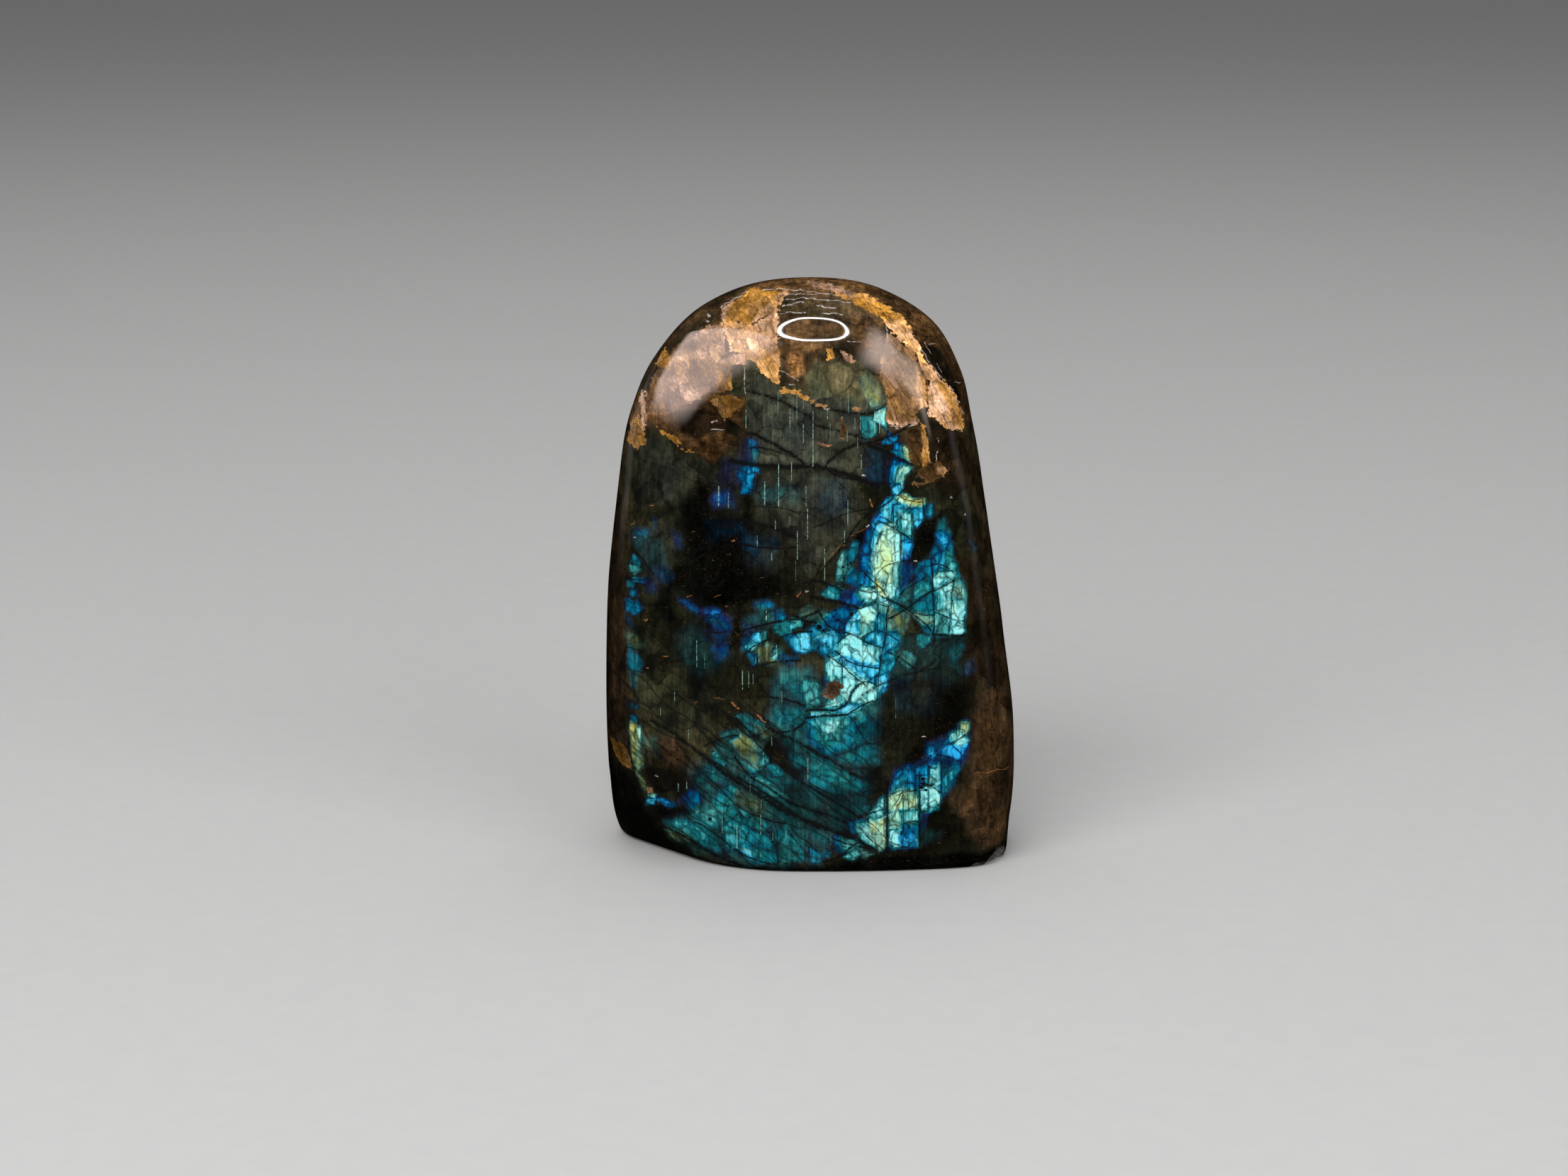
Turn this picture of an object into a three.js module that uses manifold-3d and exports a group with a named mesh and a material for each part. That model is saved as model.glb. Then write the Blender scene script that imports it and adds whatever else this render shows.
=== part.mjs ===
// A polished, free-standing piece of labradorite: one solid stone with a domed top, a broad show face,
// rounded sides and a sawn flat foot. Millimetres, +Z up, +X to the viewer's right, the show face towards -Y.
// The origin is the middle of the stone's footprint box, on the plane of the sawn foot.
import * as THREE from "three";
import { mergeVertices } from "three/addons/utils/BufferGeometryUtils.js";
import Module from "manifold-3d";

const wasm = await Module();
wasm.setup();

// Front outline as [x, z], from the lower right up over the dome and down to the lower left.
// Its ends run below z = 0, where the saw cut the stone off.
const OUTLINE = [
  [34.0, -10], [39.0, 8], [39.5, 24], [37.4, 43], [34.1, 65], [31.4, 84], [30.0, 95.5],
  [25.2, 106.4], [13.8, 113.4], [0, 115.2], [-13.5, 113.8], [-24.6, 108.4],
  [-32.0, 98.6], [-35.2, 87], [-36.8, 72], [-38.7, 54], [-39.4, 34], [-39.0, 14], [-36.5, -10],
];
const OUTLINE_SAMPLES = 480;

// The three curved walls: how far each stands from the middle, where it stands furthest, and its radii.
const SHOW_FACE = { reach: 23.2, crestX: 2, crestZ: 16, radiusAcross: 150, radiusUp: 410 };
const BACK_FACE = { reach: 22.8, crestX: 0, crestZ: 30, radiusAcross: 85, radiusUp: 230 };
const SIDES = { waistY: 1, waistSlope: 3 / 39, radius: 75 };

// How softly the walls blend into each other, low down and in the dome, and between which heights it changes.
const BLEND = { showLow: 11, showTop: 20, backLow: 15, backTop: 21, fromZ: 62, toZ: 104 };

// Broad flats that the maker ground off: outward direction, distance from the middle of the foot, and blend.
const GROUND_FLATS = [
  { name: "lower left corner", toward: [-0.6, -0.51, -0.62], distance: 20.5, blend: 7 },
  { name: "back right edge", toward: [0.62, 0.78, 0.08], distance: 32.0, blend: 5 },
  { name: "back left shoulder", toward: [-0.3, 0.9, 0.32], distance: 44.0, blend: 6 },
];

// The sawn foot's edge is broken by a small round.
const FOOT_EDGE = 1.6;

// Breaks in the polished surface: middle, half sizes along X, Y and Z, and a turn about X, Y and Z in degrees.
const CHIPS = [
  { name: "foot corner", at: [37.0, -15.4, 0.4], half: [4.6, 3.4, 2.6], turn: [12, 8, 28] },
  { name: "foot corner ledge", at: [33.2, -20.0, -0.3], half: [2.8, 2.2, 1.7], turn: [0, 15, -10] },
  { name: "right side", at: [39.2, -8.4, 42.4], half: [2.3, 2.9, 1.3], turn: [10, -20, 15] },
];
const CHIP_DETAIL = 1;

// Where the stone's surface is measured from, and how finely.
const HEART = new THREE.Vector3(0, 0, 48);
const COLUMNS = 88;
const FOOT_ROWS = 3;
const EDGE_ROWS = 3;
const WALL_ROWS = 40;
const EDGE_SWEEP = THREE.MathUtils.degToRad(3);
const FURTHEST = 90;
const HALVINGS = 40;

// The outline as its radius at each angle round the heart.
const outlineByAngle = new THREE.CatmullRomCurve3(
  OUTLINE.map(([x, z]) => new THREE.Vector3(x, 0, z)),
  true,
  "centripetal",
)
  .getPoints(OUTLINE_SAMPLES)
  .slice(0, -1)
  .map((p) => ({ angle: Math.atan2(p.z - HEART.z, p.x), radius: Math.hypot(p.x, p.z - HEART.z) }))
  .sort((a, b) => a.angle - b.angle);

function outlineRadius(angle) {
  const count = outlineByAngle.length;
  let after = outlineByAngle.findIndex((sample) => sample.angle > angle);
  if (after < 0) after = 0;
  const high = outlineByAngle[after];
  const low = outlineByAngle[(after + count - 1) % count];
  const turn = 2 * Math.PI;
  const span = (high.angle - low.angle + turn) % turn;
  const share = ((angle - low.angle + turn) % turn) / span;
  return THREE.MathUtils.lerp(low.radius, high.radius, share);
}

// The larger of two distances, rounded off over the blend where they are alike.
function softMax(a, b, blend) {
  const overlap = Math.max(blend - Math.abs(a - b), 0) / blend;
  return Math.max(a, b) + (overlap * overlap * blend) / 4;
}

// How far a point lies outside a wall that stands furthest at its crest and falls away on its two radii.
function wallDistance(outward, wall, x, z) {
  const across = (x - wall.crestX) ** 2 / (2 * wall.radiusAcross);
  const up = (z - wall.crestZ) ** 2 / (2 * wall.radiusUp);
  return outward - wall.reach + across + up;
}

// Below zero inside the ground and polished form, before the foot is sawn.
function formDistance(p) {
  const waist = SIDES.waistY - SIDES.waistSlope * p.x;
  const radius = Math.hypot(p.x, p.z - HEART.z);
  const side =
    radius - outlineRadius(Math.atan2(p.z - HEART.z, p.x)) + (p.y - waist) ** 2 / (2 * SIDES.radius);
  const show = wallDistance(-p.y, SHOW_FACE, p.x, p.z);
  const back = wallDistance(p.y, BACK_FACE, p.x, p.z);
  const dome = THREE.MathUtils.smoothstep(p.z, BLEND.fromZ, BLEND.toZ);
  let distance = softMax(side, show, THREE.MathUtils.lerp(BLEND.showLow, BLEND.showTop, dome));
  distance = softMax(distance, back, THREE.MathUtils.lerp(BLEND.backLow, BLEND.backTop, dome));
  for (const flat of GROUND_FLATS) {
    const beyond = p.dot(new THREE.Vector3(...flat.toward)) - flat.distance;
    distance = softMax(distance, beyond, flat.blend);
  }
  return distance;
}

function stoneDistance(p) {
  return softMax(formDistance(p), -p.z, FOOT_EDGE);
}

// The point on a ray from the start where the distance crosses zero.
function surfaceAlong(start, direction, distance) {
  let inside = 0;
  let outside = FURTHEST;
  for (let i = 0; i < HALVINGS; i += 1) {
    const middle = (inside + outside) / 2;
    const p = start.clone().addScaledVector(direction, middle);
    if (distance(p) < 0) inside = middle;
    else outside = middle;
  }
  return start.clone().addScaledVector(direction, (inside + outside) / 2);
}

// The edge of the flat foot in one compass direction.
function footEdge(compass) {
  const direction = new THREE.Vector3(Math.cos(compass), Math.sin(compass), 0);
  return surfaceAlong(new THREE.Vector3(), direction, (p) => formDistance(p) + FOOT_EDGE);
}

// The stone's point in one column and row: rows run from the middle of the foot, over its edge, to the top.
function stonePoint(compass, row) {
  const edge = footEdge(compass);
  if (row <= FOOT_ROWS) return edge.multiplyScalar(row / FOOT_ROWS);
  const edgeTilt = Math.atan2(edge.z - HEART.z, Math.hypot(edge.x, edge.y));
  const above = row - FOOT_ROWS;
  const tilt =
    above <= EDGE_ROWS
      ? edgeTilt + EDGE_SWEEP * (above / EDGE_ROWS)
      : THREE.MathUtils.lerp(edgeTilt + EDGE_SWEEP, Math.PI / 2, (above - EDGE_ROWS) / WALL_ROWS);
  const level = Math.cos(tilt);
  const direction = new THREE.Vector3(
    Math.cos(compass) * level,
    Math.sin(compass) * level,
    Math.sin(tilt),
  );
  return surfaceAlong(HEART, direction, stoneDistance);
}

// A sphere's grid of columns and rows, wrapped onto the stone.
function stoneGeometry() {
  const rows = FOOT_ROWS + EDGE_ROWS + WALL_ROWS;
  const geometry = new THREE.SphereGeometry(1, COLUMNS, rows);
  const position = geometry.getAttribute("position");
  const uv = geometry.getAttribute("uv");
  for (let i = 0; i < position.count; i += 1) {
    const row = Math.round(uv.getY(i) * rows);
    const column = Math.round(uv.getX(i) * COLUMNS) % COLUMNS;
    const p = stonePoint((2 * Math.PI * column) / COLUMNS, row);
    position.setXYZ(i, p.x, p.y, p.z);
  }
  return geometry;
}

// A low crystal-like lump that a chip is cut with.
function chipGeometry({ at, half, turn }) {
  const angles = turn.map(THREE.MathUtils.degToRad);
  return new THREE.IcosahedronGeometry(1, CHIP_DETAIL)
    .scale(...half)
    .applyMatrix4(new THREE.Matrix4().makeRotationFromEuler(new THREE.Euler(...angles)))
    .translate(...at);
}

function toSolid(geometry) {
  geometry.deleteAttribute("normal");
  geometry.deleteAttribute("uv");
  const merged = mergeVertices(geometry, 1e-4);
  return new wasm.Manifold(
    new wasm.Mesh({
      numProp: 3,
      vertProperties: merged.getAttribute("position").array,
      triVerts: new Uint32Array(merged.index.array),
    }),
  );
}

function toGeometry(solid) {
  const mesh = solid.getMesh();
  const geometry = new THREE.BufferGeometry();
  geometry.setAttribute("position", new THREE.BufferAttribute(mesh.vertProperties, 3));
  geometry.setIndex(new THREE.BufferAttribute(mesh.triVerts, 1));
  geometry.computeVertexNormals();
  return geometry;
}

function chippedStone() {
  let solid = toSolid(stoneGeometry());
  for (const chip of CHIPS) solid = solid.subtract(toSolid(chipGeometry(chip)));
  const geometry = toGeometry(solid);
  geometry.computeBoundingBox();
  const middle = geometry.boundingBox.getCenter(new THREE.Vector3());
  return geometry.translate(-middle.x, -middle.y, 0);
}

const labradorite = new THREE.MeshStandardMaterial({
  color: new THREE.Color(0.06, 0.12, 0.13),
  roughness: 0.08,
  metalness: 0,
});

const stone = new THREE.Mesh(chippedStone(), labradorite);
stone.name = "stone";

const part = new THREE.Group();
part.add(stone);

export default part;
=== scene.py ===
"""Looks of the polished labradorite: its surface, its flash, its crystals and the studio round it.

The flash, crystals, cracks and glints were placed one by one. Their tables give millimetres on the show face:
x to the right of its middle and z above the foot.
"""

import math
from types import SimpleNamespace

import bpy
import numpy as np
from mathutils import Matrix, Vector


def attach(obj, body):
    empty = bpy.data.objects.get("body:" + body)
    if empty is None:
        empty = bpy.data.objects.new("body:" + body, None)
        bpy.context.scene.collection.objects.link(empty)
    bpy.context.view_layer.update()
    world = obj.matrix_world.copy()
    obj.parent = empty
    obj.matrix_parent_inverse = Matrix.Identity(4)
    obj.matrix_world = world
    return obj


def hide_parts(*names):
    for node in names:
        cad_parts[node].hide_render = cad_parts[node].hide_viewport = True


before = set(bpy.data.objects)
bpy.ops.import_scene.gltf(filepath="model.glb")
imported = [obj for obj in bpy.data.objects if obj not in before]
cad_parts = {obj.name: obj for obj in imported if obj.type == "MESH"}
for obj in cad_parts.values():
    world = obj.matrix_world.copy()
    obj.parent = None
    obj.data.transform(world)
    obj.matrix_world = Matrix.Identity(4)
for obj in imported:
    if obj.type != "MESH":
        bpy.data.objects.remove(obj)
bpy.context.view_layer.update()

MM = 0.001

# The stone's form, in millimetres.
# Front outline as (x, z), from the lower right up over the dome and down to the lower left.
OUTLINE = [
    (34.0, -10), (39.0, 8), (39.5, 24), (37.4, 43), (34.1, 65), (31.4, 84), (30.0, 95.5),
    (25.2, 106.4), (13.8, 113.4), (0, 115.2), (-13.5, 113.8), (-24.6, 108.4),
    (-32.0, 98.6), (-35.2, 87), (-36.8, 72), (-38.7, 54), (-39.4, 34), (-39.0, 14), (-36.5, -10),
]
OUTLINE_STEPS = 24
HEART_Z = 48.0

SHOW_FACE = dict(reach=23.2, crest_x=2, crest_z=16, radius_across=150, radius_up=410)
BACK_FACE = dict(reach=22.8, crest_x=0, crest_z=30, radius_across=85, radius_up=230)
WAIST_Y, WAIST_SLOPE, SIDE_RADIUS = 1.0, 3 / 39, 75
BLEND = dict(show_low=11, show_top=20, back_low=15, back_top=21, from_z=62, to_z=104)

# Broad flats that the maker ground off: outward direction, distance from the middle of the foot, blend.
GROUND_FLATS = [
    ((-0.6, -0.51, -0.62), 20.5, 7),
    ((0.62, 0.78, 0.08), 32.0, 5),
    ((-0.3, 0.9, 0.32), 44.0, 6),
]
FOOT_EDGE = 1.6

# Breaks in the polish: middle, half sizes, and a turn about X, Y and Z in degrees.
CHIPS = [
    ((37.0, -15.4, 0.4), (4.6, 3.4, 2.6), (12, 8, 28)),
    ((33.2, -20.0, -0.3), (2.8, 2.2, 1.7), (0, 15, -10)),
    ((39.2, -8.4, 42.4), (2.3, 2.9, 1.3), (10, -20, 15)),
]
# Chips: the height of their roughness, the width of its grains, and a depth that lies outside them all.
CHIP_ROUGHNESS, CHIP_GRAIN, FINE_CHIP_GRAIN, FAR_OUTSIDE = 0.35, 1.3, 0.6, -9.0
# Widths and heights of the polishing waves.
WAVES = dict(broad=11, broad_height=0.06, narrow=5, narrow_height=0.012)

# How finely the surface is sampled. The columns get this many times closer together on the show face,
# between these depths.
COLUMNS = 336
SHOW_DENSITY, SHOW_DEPTHS = 3.6, (-3, -11)
FOOT_ROWS, EDGE_ROWS, WALL_ROWS, DOME_ROWS = 6, 26, 160, 98
EDGE_TOP_Z, DOME_START_Z = 10.0, 78.0
# The height and the number of angles at which the stone's girth is measured for the columns.
GIRTH_Z, GIRTH_STEPS = 40.0, 2881
# The surface is searched for up to this far from a point inside, by halving the stretch this often.
SEARCH_REACH, SEARCH_STEPS = 90.0, 34


def catmull_rom(points, steps):
    """A closed centripetal curve through the points."""
    p = np.array(points, float)
    count = len(p)
    t = np.linspace(0, 1, steps, endpoint=False)[:, None]
    pieces = []
    for i in range(count):
        p0, p1, p2, p3 = (p[(i + k) % count] for k in (-1, 0, 1, 2))
        d0, d1, d2 = (math.sqrt(np.linalg.norm(b - a)) for a, b in ((p0, p1), (p1, p2), (p2, p3)))
        m1 = ((p1 - p0) / d0 - (p2 - p0) / (d0 + d1) + (p2 - p1) / d1) * d1
        m2 = ((p2 - p1) / d1 - (p3 - p1) / (d1 + d2) + (p3 - p2) / d2) * d1
        pieces.append(
            (2 * t**3 - 3 * t**2 + 1) * p1
            + (t**3 - 2 * t**2 + t) * m1
            + (3 * t**2 - 2 * t**3) * p2
            + (t**3 - t**2) * m2
        )
    return np.concatenate(pieces)


def outline_by_angle():
    """The outline as angles round the heart and its distance from there."""
    line = catmull_rom(OUTLINE, OUTLINE_STEPS)
    angle = np.arctan2(line[:, 1] - HEART_Z, line[:, 0])
    order = np.argsort(angle)
    return angle[order], np.hypot(line[:, 0], line[:, 1] - HEART_Z)[order]


OUTLINE_ANGLE, OUTLINE_RADIUS = outline_by_angle()


def soft_max(a, b, blend):
    """The larger of two values, rounded off where they differ by less than the blend."""
    overlap = np.maximum(blend - np.abs(a - b), 0) / blend
    return np.maximum(a, b) + overlap**2 * blend / 4


def smooth(low, high, value):
    """Goes gently from 0 to 1 as the value goes from low to high."""
    t = np.clip((value - low) / (high - low), 0, 1)
    return t * t * (3 - 2 * t)


def wall(outward, face, x, z):
    """How far points lie outside a face that bulges both ways from its crest."""
    across = (x - face["crest_x"]) ** 2 / (2 * face["radius_across"])
    up = (z - face["crest_z"]) ** 2 / (2 * face["radius_up"])
    return outward - face["reach"] + across + up


def form(p):
    """How far points lie outside the ground and polished form, before the foot is sawn."""
    x, y, z = p[..., 0], p[..., 1], p[..., 2]
    waist = WAIST_Y - WAIST_SLOPE * x
    angle = np.arctan2(z - HEART_Z, x)
    radius = np.interp(angle, OUTLINE_ANGLE, OUTLINE_RADIUS, period=2 * np.pi)
    side = np.hypot(x, z - HEART_Z) - radius + (y - waist) ** 2 / (2 * SIDE_RADIUS)
    dome = smooth(BLEND["from_z"], BLEND["to_z"], z)
    show_blend = BLEND["show_low"] + (BLEND["show_top"] - BLEND["show_low"]) * dome
    back_blend = BLEND["back_low"] + (BLEND["back_top"] - BLEND["back_low"]) * dome
    distance = soft_max(side, wall(-y, SHOW_FACE, x, z), show_blend)
    distance = soft_max(distance, wall(y, BACK_FACE, x, z), back_blend)
    for toward, reach, blend in GROUND_FLATS:
        distance = soft_max(distance, p @ np.array(toward) - reach, blend)
    return distance


def turn_matrix(degrees):
    a, b, c = np.radians(degrees)
    about_x = np.array([[1, 0, 0], [0, math.cos(a), -math.sin(a)], [0, math.sin(a), math.cos(a)]])
    about_y = np.array([[math.cos(b), 0, math.sin(b)], [0, 1, 0], [-math.sin(b), 0, math.cos(b)]])
    about_z = np.array([[math.cos(c), -math.sin(c), 0], [math.sin(c), math.cos(c), 0], [0, 0, 1]])
    return about_x @ about_y @ about_z


# The noise repeats after this many lumps.
NOISE_SIZE = 32
NOISE_TABLE = np.random.default_rng(7).random((NOISE_SIZE,) * 3)


def noise(p, scale, shift=0.0):
    """Smooth noise from -1 to 1 whose lumps are about `scale` mm wide. Another shift gives another noise."""
    q = p / scale + shift
    cell = np.floor(q).astype(int)
    t = q - cell
    t = t**3 * (t * (6 * t - 15) + 10)
    total = np.zeros(p.shape[:-1])
    for corner in np.ndindex(2, 2, 2):
        index = (cell + corner) % NOISE_SIZE
        weight = np.prod(np.where(corner, t, 1 - t), axis=-1)
        total += weight * NOISE_TABLE[index[..., 0], index[..., 1], index[..., 2]]
    return total * 2 - 1


def chip_distance(p):
    """How far points lie inside the nearest chip's lump, negative outside it."""
    deepest = np.full(p.shape[:-1], FAR_OUTSIDE)
    for middle, half, degrees in CHIPS:
        q = (p - np.array(middle)) @ turn_matrix(degrees)
        size = np.linalg.norm(q / np.array(half), axis=-1)
        depth = (1 - size) * min(half)
        deepest = np.maximum(deepest, depth)
    grains = noise(p, CHIP_GRAIN) + 0.5 * noise(p, FINE_CHIP_GRAIN, 3.3)
    return deepest + CHIP_ROUGHNESS * grains - CHIP_ROUGHNESS


def polish_waves(p):
    """Hand polishing leaves waves far too low to see, but the highlights bend in them."""
    broad = noise(p, WAVES["broad"], 0.4) - 1
    narrow = noise(p, WAVES["narrow"], 8.6) - 1
    return WAVES["broad_height"] * broad + WAVES["narrow_height"] * narrow


def stone_distance(p):
    polished = soft_max(form(p) - polish_waves(p), -p[..., 2], FOOT_EDGE)
    return np.maximum(polished, chip_distance(p))


def surface_along(start, direction, distance):
    """Where rays from inside the stone meet the surface on which the distance is 0."""
    inside = np.zeros(direction.shape[:-1])
    outside = np.full(direction.shape[:-1], SEARCH_REACH)
    for _ in range(SEARCH_STEPS):
        middle = (inside + outside) / 2
        within = distance(start + direction * middle[..., None]) < 0
        inside = np.where(within, middle, inside)
        outside = np.where(within, outside, middle)
    return start + direction * ((inside + outside) / 2)[..., None]


def column_angles():
    """Compass angles of the columns, closer together where they cross the show face."""
    angle = np.linspace(0, 2 * np.pi, GIRTH_STEPS)
    direction = np.stack([np.cos(angle), np.sin(angle), np.zeros_like(angle)], -1)
    girth = surface_along(np.array([0, 0, GIRTH_Z]), direction, form)
    length = np.linalg.norm(np.diff(girth, axis=0), axis=-1)
    middle_y = (girth[1:, 1] + girth[:-1, 1]) / 2
    weight = length * (1 + (SHOW_DENSITY - 1) * smooth(*SHOW_DEPTHS, middle_y))
    along = np.concatenate([[0], np.cumsum(weight)])
    return np.interp(np.linspace(0, along[-1], COLUMNS + 1)[:-1], along, angle)


def stone_rows():
    """The stone's points by row and column, from the middle of the foot to the top of the dome."""
    compass = column_angles()
    level = np.stack([np.cos(compass), np.sin(compass), np.zeros(COLUMNS)], -1)
    up = np.array([0.0, 0, 1])
    foot = surface_along(np.zeros(3), level, lambda p: form(p) + FOOT_EDGE)
    rows = [foot * (row / FOOT_ROWS) for row in range(1, FOOT_ROWS + 1)]
    low_heart = up * EDGE_TOP_Z
    first_tilt = np.arctan2(-EDGE_TOP_Z, np.linalg.norm(foot, axis=-1))
    for row in range(1, EDGE_ROWS):
        tilt = (first_tilt * (1 - row / EDGE_ROWS))[:, None]
        rows.append(surface_along(low_heart, level * np.cos(tilt) + up * np.sin(tilt), stone_distance))
    for row in range(WALL_ROWS + 1):
        start = up * (EDGE_TOP_Z + (DOME_START_Z - EDGE_TOP_Z) * row / WALL_ROWS)
        rows.append(surface_along(start, level, stone_distance))
    high_heart = up * DOME_START_Z
    for row in range(1, DOME_ROWS):
        tilt = math.pi / 2 * row / DOME_ROWS
        rows.append(surface_along(high_heart, level * math.cos(tilt) + up * math.sin(tilt), stone_distance))
    top = surface_along(high_heart[None], up[None], stone_distance)[0]
    return np.array(rows), top


def stone_mesh():
    rows, top = stone_rows()
    points = np.concatenate([rows.reshape(-1, 3), np.zeros((1, 3)), top[None]])
    row_count = len(rows)
    foot_middle, top_index = len(points) - 2, len(points) - 1
    here = np.arange(COLUMNS)
    beside = (here + 1) % COLUMNS
    quads = []
    for row in range(row_count - 1):
        low, high = row * COLUMNS, (row + 1) * COLUMNS
        quads.append(np.stack([low + here, low + beside, high + beside, high + here], -1))
    last = (row_count - 1) * COLUMNS
    foot_fan = np.stack([np.full(COLUMNS, foot_middle), beside, here], -1)
    top_fan = np.stack([np.full(COLUMNS, top_index), last + here, last + beside], -1)
    faces = np.concatenate(quads).tolist() + foot_fan.tolist() + top_fan.tolist()
    middle = (points.min(0) + points.max(0)) / 2
    offset = np.array([middle[0], middle[1], 0])
    mesh = bpy.data.meshes.new("labradorite_stone")
    mesh.from_pydata(((points - offset) * MM).tolist(), [], faces)
    mesh.polygons.foreach_set("use_smooth", [True] * len(mesh.polygons))
    return mesh, points, offset


# Hues of the flash, in the order in which they follow each other in the stone.
HUE = dict(violet=0.0, blue=0.15, azure=0.32, sky=0.45, teal=0.58, aqua=0.70, mint=0.82, lime=0.92, gold=1.0)

FLASH_GROWTH = 0.28
# Patches whose edge is crisper than this are set off by a dark seam.
SEAM_SOFTNESS = 0.45
FLASH_AT_RIM, BLUER_AT_RIM = 0.62, 0.10
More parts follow.
